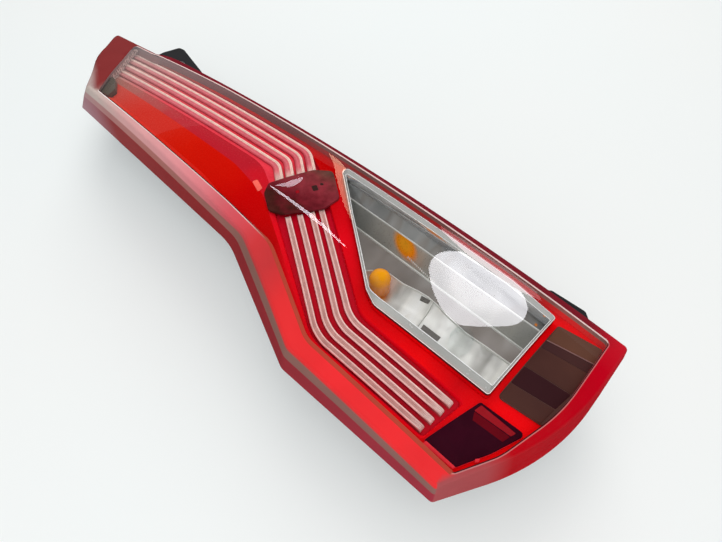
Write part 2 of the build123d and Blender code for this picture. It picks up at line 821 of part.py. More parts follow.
def socket_form(x, y, seat):
    """Quarter-turn holder: cup, three lugs, flange, grip and plug inlet."""
    with BuildSketch(Plane.XY.offset(back_z - 1.5)) as plan_1:
        with Locations((x, y)):
            Circle(17.0)
    extrude(plan_1.sketch, amount=-3.0)
    with BuildSketch(Plane.XY.offset(back_z - 1.5)) as plan_2:
        with Locations((x, y)):
            Circle(socket_hole_r - 0.5)
    extrude(plan_2.sketch, amount=seat - (back_z - 1.5))
    with BuildSketch(Plane.XY.offset(back_z + wall_t + 0.3)) as plan_3:
        with Locations((x, y)):
            with PolarLocations(socket_hole_r - 0.5, 3, start_angle=25.0):
                Rectangle(6.0, 6.0)
    extrude(plan_3.sketch, amount=3.0)
    with BuildSketch(Plane.XY.offset(seat)) as plan_4:
        with Locations((x, y)):
            RectangleRounded(15.6, 5.6, 1.0)
    extrude(plan_4.sketch, amount=-12.8, mode=Mode.SUBTRACT)
    with BuildSketch(Plane.XY.offset(seat)) as plan_5:
        with Locations((x, y)):
            Circle(7.6)
    extrude(plan_5.sketch, amount=-0.6, mode=Mode.SUBTRACT)
    connector_shroud(x, y, back_z - 4.0, (21.0, 14.0), (17.0, 10.0), 10.0)


with BuildPart() as turn_bulb:
    bulb_form(*turn_xy, holder_top - 0.6)
turn_bulb.part.label = "turn_bulb"
export_step(turn_bulb.part, "parts/turn_bulb.step")

with BuildPart() as turn_socket:
    socket_form(*turn_xy, holder_top)
turn_socket.part.label = "turn_socket"
export_step(turn_socket.part, "parts/turn_socket.step")

with BuildPart() as reverse_bulb:
    bulb_form(*reverse_xy, holder_top - 0.6)
reverse_bulb.part.label = "reverse_bulb"
export_step(reverse_bulb.part, "parts/reverse_bulb.step")

with BuildPart() as reverse_socket:
    socket_form(*reverse_xy, holder_top)
reverse_socket.part.label = "reverse_socket"
export_step(reverse_socket.part, "parts/reverse_socket.step")

with BuildPart() as brake_bulb:
    bulb_form(*brake_xy, brake_holder_top - 0.6)
brake_bulb.part.label = "brake_bulb"
export_step(brake_bulb.part, "parts/brake_bulb.step")

with BuildPart() as brake_socket:
    socket_form(*brake_xy, brake_holder_top)
brake_socket.part.label = "brake_socket"
export_step(brake_socket.part, "parts/brake_socket.step")


def seal_form(x, y):
    """Flat ring under the holder's flange."""
    with BuildSketch(Plane.XY.offset(back_z)) as plan_1:
        with Locations((x, y)):
            Circle(16.6)
            Circle(socket_hole_r + 0.1, mode=Mode.SUBTRACT)
    extrude(plan_1.sketch, amount=-1.5)


with BuildPart() as turn_socket_seal:
    seal_form(*turn_xy)
turn_socket_seal.part.label = "turn_socket_seal"
export_step(turn_socket_seal.part, "parts/turn_socket_seal.step")

with BuildPart() as reverse_socket_seal:
    seal_form(*reverse_xy)
reverse_socket_seal.part.label = "reverse_socket_seal"
export_step(reverse_socket_seal.part, "parts/reverse_socket_seal.step")

with BuildPart() as brake_socket_seal:
    seal_form(*brake_xy)
brake_socket_seal.part.label = "brake_socket_seal"
export_step(brake_socket_seal.part, "parts/brake_socket_seal.step")
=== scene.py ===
import math
import random

import bmesh
import bpy
import numpy as np
from mathutils import Matrix, Vector
from mathutils.geometry import delaunay_2d_cdt


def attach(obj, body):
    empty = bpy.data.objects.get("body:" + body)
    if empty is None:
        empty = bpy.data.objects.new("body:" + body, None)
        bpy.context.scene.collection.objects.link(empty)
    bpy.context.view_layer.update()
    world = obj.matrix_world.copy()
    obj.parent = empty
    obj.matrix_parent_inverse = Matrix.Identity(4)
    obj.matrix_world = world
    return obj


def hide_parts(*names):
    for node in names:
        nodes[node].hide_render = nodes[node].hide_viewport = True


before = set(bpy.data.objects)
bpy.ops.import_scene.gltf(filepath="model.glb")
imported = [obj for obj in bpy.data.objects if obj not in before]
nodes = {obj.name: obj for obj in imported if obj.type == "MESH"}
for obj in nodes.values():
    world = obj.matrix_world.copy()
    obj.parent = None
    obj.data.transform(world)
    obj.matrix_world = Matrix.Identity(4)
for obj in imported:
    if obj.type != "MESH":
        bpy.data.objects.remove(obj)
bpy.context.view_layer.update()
scene = bpy.context.scene
MM = 0.001

# ---------------------------------------------------------------------------
# Outlines, millimetres: (x, y, corner radius), counter-clockwise
# ---------------------------------------------------------------------------
RIM_Z, LOFT_H, WALL_H = 6.0, 60.0, 76.0
CROWN = (-103.0, -22.0, 76.0, 260.0, 1900.0)
rim_v = [(-19.0, -327.5, 3.5), (-19.5, 246.0, 120.0), (-19.5, 369.2, 2.5), (-60.5, 350.5, 25.0), (-122.0, 291.5, 3.0),
         (-145.0, 19.0, 80.0), (-206.0, -110.0, 16.0), (-211.2, -271.5, 4.0), (-125.0, -327.5, 200.0)]
crest_v = [(-22.5, -321.5, 3.5), (-26.4, 234.0, 120.0), (-41.8, 288.0, 4.0), (-71.0, 280.6, 60.0), (-120.6, 244.8, 6.0),
           (-153.5, -22.0, 50.0), (-200.5, -122.0, 16.0), (-205.0, -267.5, 4.0), (-123.5, -321.5, 195.0)]
window = [(-38.6, -41.5, 1.6), (-45.0, -41.5, 1.6), (-77.0, -78.0, 60.0), (-128.5, -139.5, 14.0),
          (-134.5, -152.0, 10.0), (-134.5, -260.5, 1.8), (-43.0, -265.5, 1.8), (-38.2, -222.0, 60.0)]
window_in = [(-42.4, -44.4, 0.9), (-45.4, -44.4, 0.9), (-76.8, -79.8, 60.0), (-126.6, -139.8, 12.0),
             (-127.8, -151.0, 8.0), (-127.2, -259.4, 1.2), (-46.6, -264.3, 1.2), (-42.8, -222.0, 60.0)]
face_line = [(-30.2, -310.5, 4.0), (-30.4, 130.0, 200.0), (-34.6, 288.6, 3.0), (-68.0, 263.8, 80.0), (-117.8, 234.2, 4.0),
             (-139.5, 10.0, 100.0), (-147.0, -50.0, 40.0), (-188.5, -128.0, 30.0), (-194.4, -273.0, 5.0),
             (-165.0, -292.3, 60.0), (-112.0, -309.0, 150.0)]
channel = [(-36.2, 305.0, 6.0), (-82.5, 275.0, 4.0), (-82.5, 27.0, 50.0), (-97.5, 1.0, 40.0),
           (-121.0, -31.5, 40.0), (-181.6, -126.5, 40.0), (-184.6, -240.0, 3.0), (-148.6, -249.0, 3.0),
           (-145.2, -145.5, 30.0), (-79.0, -54.0, 40.0), (-53.5, -19.5, 60.0), (-34.6, 14.0, 60.0)]
valley = [(-35.2, 307.0, 5.0), (-90.5, 271.0, 4.0), (-100.0, 45.0, 60.0), (-110.0, -2.0, 20.0),
          (-124.0, -26.0, 40.0), (-184.2, -125.5, 40.0), (-187.4, -241.0, 3.0), (-147.2, -250.6, 3.0),
          (-143.8, -145.0, 30.0), (-77.4, -53.0, 40.0), (-52.0, -18.8, 60.0), (-33.2, 14.0, 60.0)]
bridge = [(-46.0, -30.0, 5.0), (-58.0, -17.0, 6.0), (-99.0, 1.0, 4.0), (-109.5, -4.0, 6.0),
          (-121.0, -20.5, 6.0), (-116.5, -33.0, 6.0), (-88.0, -57.0, 8.0), (-69.0, -58.5, 6.0)]
reflex = [(-140.2, -259.0, 2.5), (-188.8, -242.0, 2.5), (-188.0, -271.5, 3.0), (-164.0, -286.5, 60.0),
          (-137.8, -298.6, 3.0)]
corner = [(-33.6, -310.5, 4.0), (-42.5, -271.0, 3.0), (-128.8, -266.5, 3.0), (-124.6, -303.6, 3.0),
          (-92.0, -311.5, 80.0)]
upper_paths = [([(-40.7, 300.0), (-40.5, 8.0), (-61.5, -18.4)], 22.0), ([(-51.8, 290.5), (-52.0, 10.0), (-71.7, -14.2)], 20.0),
               ([(-63.5, 282.0), (-63.8, 12.0), (-80.5, -8.8)], 18.0), ([(-75.4, 274.0), (-75.5, 14.0), (-89.0, -3.2)], 16.0)]
lower_paths = [([(-112.3, -35.2), (-178.2, -128.6), (-181.1, -237.0)], 42.0), ([(-104.0, -41.7), (-169.5, -133.0), (-172.4, -239.7)], 40.0),
               ([(-94.8, -47.4), (-160.8, -137.3), (-163.2, -241.8)], 38.0), ([(-86.8, -51.4), (-152.0, -141.5), (-154.5, -243.6)], 36.0)]
FLOOR_Z = -62.0
EYE = np.array((-314.29, -289.62, 463.0))
FWD = np.array((0.41669, 0.35069, -0.83867))
RGT = np.array((0.64389, -0.76507, 0.0))
UPV = np.cross(RGT, FWD)


# ---------------------------------------------------------------------------
# Outline tools
# ---------------------------------------------------------------------------
def zface(x, y, off=0.0):
    """Height of the surface that lies off below the lens face."""
    cx, cy, cz, rx, ry = CROWN
    x, y = np.asarray(x, float), np.asarray(y, float)
    ring = cz - rx + np.sqrt((rx - off) ** 2 - (x - cx) ** 2)
    r = ring - (cz - ry)
    return cz - ry + np.sqrt(r * r - (y - cy) ** 2)


def between(a, b, f):
    return [tuple(p + (q - p) * f for p, q in zip(u, v)) for u, v in zip(a, b)]


def inset(poly, d):
    n, out = len(poly), []
    for i in range(n):
        x0, y0, _ = poly[i - 1]
        x1, y1, r = poly[i]
        x2, y2, _ = poly[(i + 1) % n]
        ax, ay, bx, by = x1 - x0, y1 - y0, x2 - x1, y2 - y1
        la, lb = math.hypot(ax, ay), math.hypot(bx, by)
        ax, ay, bx, by = ax / la, ay / la, bx / lb, by / lb
        turn = ax * by - ay * bx
        px, py, qx, qy = x1 - ay * d, y1 + ax * d, x1 - by * d, y1 + bx * d
        s = ((qx - px) * by - (qy - py) * bx) / turn
        out.append((px + ax * s, py + ay * s, max(0.4, r - d if turn > 0 else r + d)))
    return out


def sample(poly, counts=None, step=4.0, arc_step=2.0):
    """Points of a closed outline with rounded corners. Outlines with the same counts match point for point."""
    n, arcs = len(poly), []
    for i in range(n):
        p0, p1, p2 = (np.array(poly[j % n][:2], float) for j in (i - 1, i, i + 1))
        r = poly[i][2]
        a, b = (p0 - p1) / np.linalg.norm(p0 - p1), (p2 - p1) / np.linalg.norm(p2 - p1)
        half = math.acos(max(-1.0, min(1.0, float(a @ b)))) / 2
        t = r / math.tan(half)
        c = p1 + (a + b) / np.linalg.norm(a + b) * r / math.sin(half)
        s, e = p1 + a * t - c, p1 + b * t - c
        a0 = math.atan2(s[1], s[0])
        da = (math.atan2(e[1], e[0]) - a0 + math.pi) % (2 * math.pi) - math.pi
        arcs.append((c, r, a0, da, p1 + b * t, p1 + a * t))
    if counts is None:
        counts = []
        for i in range(n):
            run = np.linalg.norm(arcs[(i + 1) % n][5] - arcs[i][4])
            counts.append((max(3, int(arcs[i][1] * abs(arcs[i][3]) / arc_step)), max(1, int(run / step))))
    pts = []
    for i in range(n):
        c, r, a0, da, out, _ = arcs[i]
        na, nl = counts[i]
        for k in range(na + 1):
            w = a0 + da * k / na
            pts.append((c[0] + r * math.cos(w), c[1] + r * math.sin(w)))
        nxt = arcs[(i + 1) % n][5]
        for k in range(1, nl):
            pts.append(tuple(out + (nxt - out) * k / nl))
    return np.array(pts), counts


def inside(loop, pts):
    x, y = pts[:, 0][:, None], pts[:, 1][:, None]
    x0, y0 = loop[:, 0][None], loop[:, 1][None]
    x1, y1 = np.roll(loop[:, 0], -1)[None], np.roll(loop[:, 1], -1)[None]
    cross = (y0 > y) != (y1 > y)
    with np.errstate(divide="ignore", invalid="ignore"):
        xi = x0 + (y - y0) * (x1 - x0) / (y1 - y0)
    return (cross & (x < xi)).sum(1) % 2 == 1


def near(loop, pts, closed=True):
    a = loop
    b = np.roll(loop, -1, 0) if closed else loop[1:]
    a = a if closed else loop[:-1]
    d = b - a
    ll = (d * d).sum(1)
    best = np.full(len(pts), 1e9)
    for k in range(0, len(pts), 2000):
        p = pts[k:k + 2000]
        t = (((p[:, None] - a[None]) * d[None]).sum(2) / ll[None]).clip(0, 1)
        q = a[None] + t[..., None] * d[None]
        best[k:k + 2000] = np.sqrt(((p[:, None] - q) ** 2).sum(2)).min(1)
    return best


def fill(outer, holes=(), grid=6.0, lines=()):
    """Triangles of the area inside outer and outside the holes; closed lines stay as edges."""
    loops = [outer, *holes, *lines]
    lo, hi = outer.min(0), outer.max(0)
    gx = np.arange(lo[0] + grid / 2, hi[0], grid)
    gy = np.arange(lo[1] + grid / 2, hi[1], grid * 0.866)
    pts = np.array([(x + (grid / 2 if j % 2 else 0.0), y) for j, y in enumerate(gy) for x in gx]).reshape(-1, 2)
    keep = inside(outer, pts)
    for h in holes:
        keep &= ~inside(h, pts)
    for loop in loops:
        keep &= near(loop, pts) > grid * 0.45
    pts = pts[keep]
    co, edges = [], []
    for loop in loops:
        s, n = len(co), len(loop)
        co += [Vector(p) for p in loop]
        edges += [(s + i, s + (i + 1) % n) for i in range(n)]
    co += [Vector(p) for p in pts]
    out = delaunay_2d_cdt(co, edges, [], 0, 1e-5, False)
    v = np.array([tuple(p) for p in out[0]])
    f = np.array([list(t) for t in out[2] if len(t) == 3])
    mid = v[f].mean(1)
    ok = inside(outer, mid)
    for h in holes:
        ok &= ~inside(h, mid)
    f = f[ok]
    a, b, c = v[f[:, 0]], v[f[:, 1]], v[f[:, 2]]
    area = (b[:, 0] - a[:, 0]) * (c[:, 1] - a[:, 1]) - (b[:, 1] - a[:, 1]) * (c[:, 0] - a[:, 0])
    f[area < 0] = f[area < 0][:, ::-1]
    return v, f[np.abs(area) > 1e-6]


class Mesh:
    """Collects vertices and faces in millimetres and makes one object of them."""

    def __init__(self):
        self.v, self.f, self.m, self.att, self.c = [], [], [], {}, []

    def put(self, pts, col=None, **att):
        s = len(self.v)
        self.c += [(0.0, 0.0, 0.0)] * len(pts) if col is None else [tuple(map(float, c)) for c in col]
        self.v += [tuple(map(float, p)) for p in pts]
        for k in set(att) | set(self.att):
            self.att.setdefault(k, [0.0] * s)
            val = att.get(k, 0.0)
            self.att[k] += list(map(float, val)) if np.ndim(val) else [float(val)] * len(pts)
        return s

    def face(self, idx, mat=0):
        self.f.append(tuple(idx))
        self.m.append(mat)

    def patch(self, xy, tris, z, mat=0, flip=False, **att):
        s = self.put(np.column_stack([xy, z]), **att)
        mats = mat if np.ndim(mat) else [mat] * len(tris)
        for t, m in zip(tris, mats):
            t = t[::-1] if flip else t
            self.face([s + int(k) for k in t], int(m))

    def rings(self, loops, mat=0, closed=True, flip=False, col=None, **att):
        """Quads between loops that match point for point, the first one lowest."""
        n = len(loops[0])
        starts = [self.put(lp, None if col is None else col[i], **{k: (v[i] if np.ndim(v) else v) for k, v in att.items()}) for i, lp in enumerate(loops)]
        mats = mat if np.ndim(mat) else [mat] * (len(loops) - 1)
        for j in range(len(loops) - 1):
            a, b = starts[j], starts[j + 1]
            for i in range(n if closed else n - 1):
                k = (i + 1) % n
                q = [a + i, a + k, b + k, b + i]
                self.face(q[::-1] if flip else q, int(mats[j]))

    def make(self, name, mats, angle=35.0, merge=0.002, normals=None):
        me = bpy.data.meshes.new(name)
        me.from_pydata([(x * MM, y * MM, z * MM) for x, y, z in self.v], [], self.f)
        for m in mats:
            me.materials.append(m)
        me.polygons.foreach_set("material_index", self.m)
        for k, vals in self.att.items():
            a = me.attributes.new(k, "FLOAT", "POINT")
            a.data.foreach_set("value", vals)
        if any(any(c) for c in self.c):
            a = me.attributes.new("tint", "FLOAT_COLOR", "POINT")
            a.data.foreach_set("color", [x for c in self.c for x in (*c, 1.0)])
        bm = bmesh.new()
        bm.from_mesh(me)
        bmesh.ops.remove_doubles(bm, verts=bm.verts, dist=merge * MM)
        bmesh.ops.dissolve_degenerate(bm, edges=bm.edges, dist=1e-6)
        loose = [v for v in bm.verts if not v.link_faces]
        bmesh.ops.delete(bm, geom=loose, context="VERTS")
        bm.to_mesh(me)
        bm.free()
        for p in me.polygons:
            p.use_smooth = True
        me.set_sharp_from_angle(angle=math.radians(angle))
        if normals is not None:
            me.normals_split_custom_set_from_vertices([normals(v.co / MM) for v in me.vertices])
        ob = bpy.data.objects.new(name, me)
        scene.collection.objects.link(ob)
        return ob


def at_depth(loop, off):
    return np.column_stack([loop, zface(loop[:, 0], loop[:, 1], off)])


def at_z(loop, z):
    return np.column_stack([loop, np.full(len(loop), float(z))])


def plate(mesh, poly, top, low, bevel=0.6, grid=6.0, mat=0, edge_mat=None, holes=(), **att):
    """Plate that follows the lens face, with a rounded upper edge."""
    em = mat if edge_mat is None else edge_mat
    o, c = sample(poly, step=3.0, arc_step=1.2)
    i1, _ = sample(inset(poly, bevel), c)
    i2, _ = sample(inset(poly, bevel * 0.3), c)
    hs = [sample(h, step=3.0, arc_step=1.2)[0] for h in holes]
    v, f = fill(i1, hs, grid)
    mesh.patch(v, f, zface(v[:, 0], v[:, 1], top), mat, **att)
    mesh.rings([at_depth(o, low), at_depth(o, top + bevel), at_depth(i2, top + bevel * 0.3), at_depth(i1, top)], [em, em, mat], **att)
    v, f = fill(o, hs, grid * 1.6)
    mesh.patch(v, f, zface(v[:, 0], v[:, 1], low), em, flip=True, **att)


def ride(ob, slot, *stands_for):
    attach(ob, "root")
    if stands_for:
        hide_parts(*stands_for)
    return ob


# ---------------------------------------------------------------------------
# Materials
# ---------------------------------------------------------------------------
class Nodes:
    def __init__(self, name):
        self.mat = bpy.data.materials.new(name)
        self.mat.use_nodes = True
        self.nt = self.mat.node_tree
        self.nt.nodes.clear()
        self.out = self.nt.nodes.new("ShaderNodeOutputMaterial")
        self._tc = None

    def new(self, kind, **props):
        n = self.nt.nodes.new(kind)
        for k, v in props.items():
            setattr(n, k, v)
        return n

    def link(self, a, b):
        self.nt.links.new(a, b)

    def coords(self):
        if self._tc is None:
            self._tc = self.new("ShaderNodeTexCoord")
        return self._tc.outputs["Object"]

    def noise(self, scale, detail=3.0, rough=0.55, vec=None):
        n = self.new("ShaderNodeTexNoise")
        n.inputs["Scale"].default_value = scale
        n.inputs["Detail"].default_value = detail
        n.inputs["Roughness"].default_value = rough
        self.link(vec or self.coords(), n.inputs["Vector"])
        return n.outputs["Fac"]

    def remap(self, v, a, b, c, d, smooth=False):
        n = self.new("ShaderNodeMapRange")
        n.interpolation_type = "SMOOTHSTEP" if smooth else "LINEAR"
        self.link(v, n.inputs["Value"])
        for k, x in zip(("From Min", "From Max", "To Min", "To Max"), (a, b, c, d)):
            n.inputs[k].default_value = x
        return n.outputs["Result"]

    def math(self, op, a, b=None):
        n = self.new("ShaderNodeMath", operation=op)
        for i, x in enumerate((a, b)):
            if x is None:
                continue
            if isinstance(x, (int, float)):
                n.inputs[i].default_value = x
            else:
                self.link(x, n.inputs[i])
        return n.outputs[0]

    def mix(self, fac, a, b):
        n = self.new("ShaderNodeMix", data_type="RGBA")
        ins = [s for s in n.inputs if s.type == "RGBA"]
        fs = [s for s in n.inputs if s.type == "VALUE"][0]
        if isinstance(fac, (int, float)):
            fs.default_value = fac
        else:
            self.link(fac, fs)
        for s, x in zip(ins, (a, b)):
            if isinstance(x, (tuple, list)):
                s.default_value = (*x, 1.0)
            else:
                self.link(x, s)
        return [s for s in n.outputs if s.type == "RGBA"][0]

    def ramp(self, v, stops, mode="LINEAR"):
        n = self.new("ShaderNodeValToRGB")
        n.color_ramp.interpolation = mode
        e = n.color_ramp.elements
        while len(e) < len(stops):
            e.new(0.5)
        for k, (p, c) in zip(e, stops):
            k.position, k.color = p, (*c, 1.0)
        self.link(v, n.inputs["Fac"])
        return n.outputs["Color"]

    def attr(self, name):
        n = self.new("ShaderNodeAttribute", attribute_name=name)
        return n.outputs["Fac"]

    def xyz(self):
        n = self.new("ShaderNodeSeparateXYZ")
        self.link(self.coords(), n.inputs[0])
        return n.outputs

    def bump(self, h, strength, dist):
        n = self.new("ShaderNodeBump")
        n.inputs["Strength"].default_value = strength
        n.inputs["Distance"].default_value = dist
        self.link(h, n.inputs["Height"])
        return n.outputs["Normal"]

    def principled(self, base, rough, metallic=0.0, normal=None, coat=0.0, coat_rough=0.03, spec=None):
        b = self.new("ShaderNodeBsdfPrincipled")
        if isinstance(base, (tuple, list)):
            b.inputs["Base Color"].default_value = (*base, 1.0)
        else:
            self.link(base, b.inputs["Base Color"])
        if isinstance(rough, (int, float)):
            b.inputs["Roughness"].default_value = rough
        else:
            self.link(rough, b.inputs["Roughness"])
        b.inputs["Metallic"].default_value = metallic
        if coat:
            b.inputs["Coat Weight"].default_value = coat
            b.inputs["Coat Roughness"].default_value = coat_rough
        if spec is not None:
            b.inputs["Specular IOR Level"].default_value = spec
        if normal is not None:
            self.link(normal, b.inputs["Normal"])
        return b

    def done(self, shader):
        self.link(shader.outputs[0], self.out.inputs["Surface"])
        return self.mat


def moulded(name, base, rough=(0.3, 0.45), grain=900.0, bump=0.15, dist=0.00015, vary=0.12, metallic=0.0, coat=0.0, spec=None):
    """Moulded or plated surface with fine grain and slight colour variation."""
    n = Nodes(name)
    fine = n.noise(grain, 4.0)
    broad = n.noise(grain * 0.04, 3.0)
    lo, hi = tuple(c * (1 - vary) for c in base), tuple(min(1.0, c * (1 + vary)) for c in base)
    col = n.mix(n.remap(broad, 0.3, 0.7, 0.0, 1.0), lo, hi)
    rg = n.remap(fine, 0.3, 0.7, *rough)
    return n.done(n.principled(col, rg, metallic, n.bump(fine, bump, dist), coat, spec=spec))


def clear_shell(name, tint, rough=0.02, share=1.0):
    """Polished clear plastic: light goes straight through, and the outside mirrors by the angle."""
    n = Nodes(name)
    fr = n.new("ShaderNodeFresnel")
    fr.inputs["IOR"].default_value = 1.36
    geo = n.new("ShaderNodeNewGeometry")
    front = n.math("SUBTRACT", 1.0, geo.outputs["Backfacing"])
    fac = n.math("MINIMUM", n.math("MULTIPLY", n.math("MULTIPLY", fr.outputs[0], front), share), 0.3)
    see = n.new("ShaderNodeBsdfTransparent")
    see.inputs["Color"].default_value = (*tint, 1.0)
    gl = n.new("ShaderNodeBsdfGlossy")
    gl.inputs["Color"].default_value = (1.0, 1.0, 1.0, 1.0)
    haze = n.noise(60.0, 2.0)
    n.link(n.remap(haze, 0.3, 0.7, rough * 0.7, rough * 1.4), gl.inputs["Roughness"])
    mx = n.new("ShaderNodeMixShader")
    n.link(fac, mx.inputs[0])
    n.link(see.outputs[0], mx.inputs[1])
    n.link(gl.outputs[0], mx.inputs[2])
    return n.done(mx)


m_face = clear_shell("lens_face", (1.0, 0.90, 0.89), share=1.4)
m_clear = clear_shell("lens_clear", (1.0, 1.0, 1.0), share=5.0)


def tinted(name, rough, share=0.012, vary=0.05, grain=300.0, bump=0.02):
    """Polished plastic that takes its colour from the mesh, with slight variation."""
    n = Nodes(name)
    a = n.new("ShaderNodeAttribute", attribute_name="tint")
    broad = n.noise(25.0, 2.0)
    fine = n.noise(grain, 2.0)
    hsv = n.new("ShaderNodeHueSaturation")
    n.link(a.outputs["Color"], hsv.inputs["Color"])
    n.link(n.remap(broad, 0.3, 0.7, 1.0 - vary, 1.0 + vary), hsv.inputs["Value"])
    rg = n.remap(fine, 0.3, 0.7, *rough)
    body = n.principled(hsv.outputs[0], rg, 0.0, n.bump(broad, bump, 0.0006), spec=0.0)
    gl = n.new("ShaderNodeBsdfGlossy")
    gl.inputs["Color"].default_value = (1.0, 1.0, 1.0, 1.0)
    n.link(rg, gl.inputs["Roughness"])
    mx = n.new("ShaderNodeMixShader")
    mx.inputs[0].default_value = share
    n.link(body.outputs[0], mx.inputs[1])
    n.link(gl.outputs[0], mx.inputs[2])
    return n.done(mx)


# The mesh tint of the lens rim and the bezel lip carries painted shade and painted reflections, set further down.
m_band = tinted("lens_red", (0.10, 0.18), 0.014)
m_lip = tinted("bezel_lip", (0.25, 0.35), 0.010)


def bezel_red():
    n = Nodes("bezel_red")
    x, y, z = n.xyz()
    broad = n.noise(18.0, 2.0)
    wob = n.math("ADD", y, n.remap(broad, 0.3, 0.7, -0.012, 0.012))
    # Brightness changes along the length are painted light and shade: the darker stretches, such as the one beside the
    # signal window's corner, are painted shade; paler and pinker towards the top end is painted sheen.
    col = n.ramp(n.remap(wob, -0.30, 0.26, 0.0, 1.0),
                 [(0.05, (0.82, 0.001, 0.004)), (0.10, (0.58, 0.001, 0.005)), (0.17, (0.80, 0.0006, 0.003)), (0.235, (0.72, 0.0006, 0.004)),
                  (0.29, (0.54, 0.0008, 0.004)), (0.38, (0.68, 0.002, 0.010)), (0.46, (0.46, 0.001, 0.002)), (0.545, (0.52, 0.001, 0.001)),
                  (0.60, (0.56, 0.004, 0.001)), (0.72, (0.60, 0.010, 0.002)), (0.85, (0.59, 0.028, 0.014)), (0.95, (0.54, 0.060, 0.040))])
    fine = n.noise(700.0, 3.0)
    return n.done(n.principled(col, n.remap(fine, 0.3, 0.7, 0.24, 0.30), 0.0, n.bump(broad, 0.03, 0.0006), spec=0.04))


m_bezel = bezel_red()


def slope_red():
    n = Nodes("bezel_slope")
    x, y, z = n.xyz()
    broad = n.noise(30.0, 3.0)
    wob = n.math("ADD", y, n.remap(broad, 0.3, 0.7, -0.02, 0.02))
    # Crimson, turning greyer and paler towards the top end as painted reflection.
    col = n.ramp(n.remap(wob, -0.26, 0.28, 0.0, 1.0),
                 [(0.0, (0.72, 0.002, 0.010)), (0.40, (0.70, 0.003, 0.012)), (0.55, (0.46, 0.012, 0.026)), (0.72, (0.48, 0.016, 0.030)), (0.86, (0.40, 0.09, 0.08)), (1.0, (0.30, 0.20, 0.15))])
    fine = n.noise(500.0, 3.0)
    return n.done(n.principled(col, n.remap(fine, 0.3, 0.7, 0.2, 0.3), 0.0, n.bump(fine, 0.06, 0.0001), spec=0.08))


m_slope = slope_red()


def tray_red():
    """Floor of the trough: deep red between the lower guides, pink-red between the upper ones, greyish towards the top
    end as painted reflection.
    """
    n = Nodes("tray_red")
    x, y, z = n.xyz()
    broad = n.noise(90.0, 3.0)
    wob = n.math("ADD", y, n.remap(broad, 0.3, 0.7, -0.012, 0.012))
    col = n.ramp(n.remap(wob, -0.26, 0.30, 0.0, 1.0),
                 [(0.0, (0.46, 0.001, 0.014)), (0.40, (0.46, 0.001, 0.014)), (0.50, (0.80, 0.05, 0.08)), (0.78, (0.80, 0.08, 0.11)), (0.94, (0.52, 0.34, 0.30))])
    fine = n.noise(700.0, 3.0)
    return n.done(n.principled(col, n.remap(fine, 0.3, 0.7, 0.2, 0.3), 0.0, n.bump(fine, 0.08, 0.0001), spec=0.1))


m_tray = tray_red()


def frosted_end():
    """Rough pale end of the trough, broken up by the ends of the guides."""
    n = Nodes("tray_end")
    speck = n.noise(420.0, 3.0)
    col = n.ramp(speck, [(0.32, (0.22, 0.14, 0.12)), (0.46, (0.46, 0.33, 0.30)), (0.58, (0.86, 0.78, 0.73))])
    return n.done(n.principled(col, n.remap(speck, 0.3, 0.7, 0.3, 0.5), 0.0, n.bump(speck, 0.3, 0.0006), spec=0.2))


m_frost = frosted_end()
# Near black: on the bezel's edge round the window opening it is painted shade in the joint round the signal window; on
# the bridge cover it makes small dark marks.
m_void = moulded("inside_dark", (0.035, 0.012, 0.010), (0.4, 0.5))


def guide_mat(name, stops, tip, lines, depth, top=None):
    """Fluted light guide: colour across the bar with its pale edge lines as painted highlights, fine moulded lines
    along it, lighter at the frosted tips, and with top greyer towards the top end as painted reflection.
    """
    n = Nodes(name)
    u = n.attr("across")
    t = n.attr("tip")
    x, y, z = n.xyz()
    broad = n.noise(160.0, 3.0)
    # The pale edge lines in the stops across the bar are painted highlights.
    col = n.ramp(u, stops)
    col = n.mix(n.remap(t, 0.1, 0.9, 0.0, 0.85, True), col, n.ramp(u, tip))
    if top:
        # Greyer towards the top end: painted reflection.
        col = n.mix(n.remap(y, 0.16, 0.29, 0.0, 0.75, True), col, n.ramp(u, top))
    wave = n.math("SINE", n.math("MULTIPLY", u, lines * 2 * math.pi))
    dark = n.remap(wave, -1.0, 1.0, 0.78, 1.05)
    spec = n.remap(broad, 0.35, 0.65, 0.92, 1.06)
    hsv = n.new("ShaderNodeHueSaturation")
    n.link(col, hsv.inputs["Color"])
    n.link(n.math("MULTIPLY", dark, spec), hsv.inputs["Value"])
    fine = n.noise(900.0, 3.0)
    nrm = n.bump(n.math("ADD", wave, n.math("MULTIPLY", fine, 0.6)), 0.25, depth)
    return n.done(n.principled(hsv.outputs[0], n.remap(fine, 0.3, 0.7, 0.14, 0.24), 0.0, nrm, spec=0.3))


m_upper = guide_mat("guide_clear", [(0.0, (0.52, 0.05, 0.08)), (0.06, (0.62, 0.09, 0.12)), (0.30, (0.78, 0.20, 0.24)), (0.58, (0.74, 0.16, 0.20)),
                                    (0.66, (0.90, 0.64, 0.56)), (0.90, (0.96, 0.80, 0.70)), (0.97, (0.84, 0.42, 0.40)), (1.0, (0.55, 0.06, 0.09))],
                    [(0.0, (0.62, 0.4, 0.36)), (0.2, (0.84, 0.68, 0.60)), (0.8, (0.90, 0.78, 0.70)), (1.0, (0.7, 0.5, 0.44))], 6.0, 0.0003,
                    [(0.0, (0.34, 0.20, 0.18)), (0.3, (0.56, 0.36, 0.34)), (0.6, (0.54, 0.34, 0.32)), (0.72, (0.84, 0.70, 0.62)), (0.95, (0.90, 0.78, 0.70)), (1.0, (0.40, 0.25, 0.22))])
m_lower = guide_mat("guide_lower", [(0.0, (0.34, 0.01, 0.03)), (0.05, (0.92, 0.64, 0.61)), (0.20, (0.96, 0.72, 0.68)), (0.32, (0.56, 0.34, 0.31)),
                                    (0.68, (0.56, 0.33, 0.30)), (0.80, (0.96, 0.72, 0.68)), (0.95, (0.97, 0.78, 0.73)), (1.0, (0.5, 0.06, 0.08))],
                    [(0.0, (0.4, 0.1, 0.1)), (0.2, (0.74, 0.6, 0.56)), (0.8, (0.76, 0.62, 0.58)), (1.0, (0.5, 0.2, 0.2))], 5.0, 0.0003)


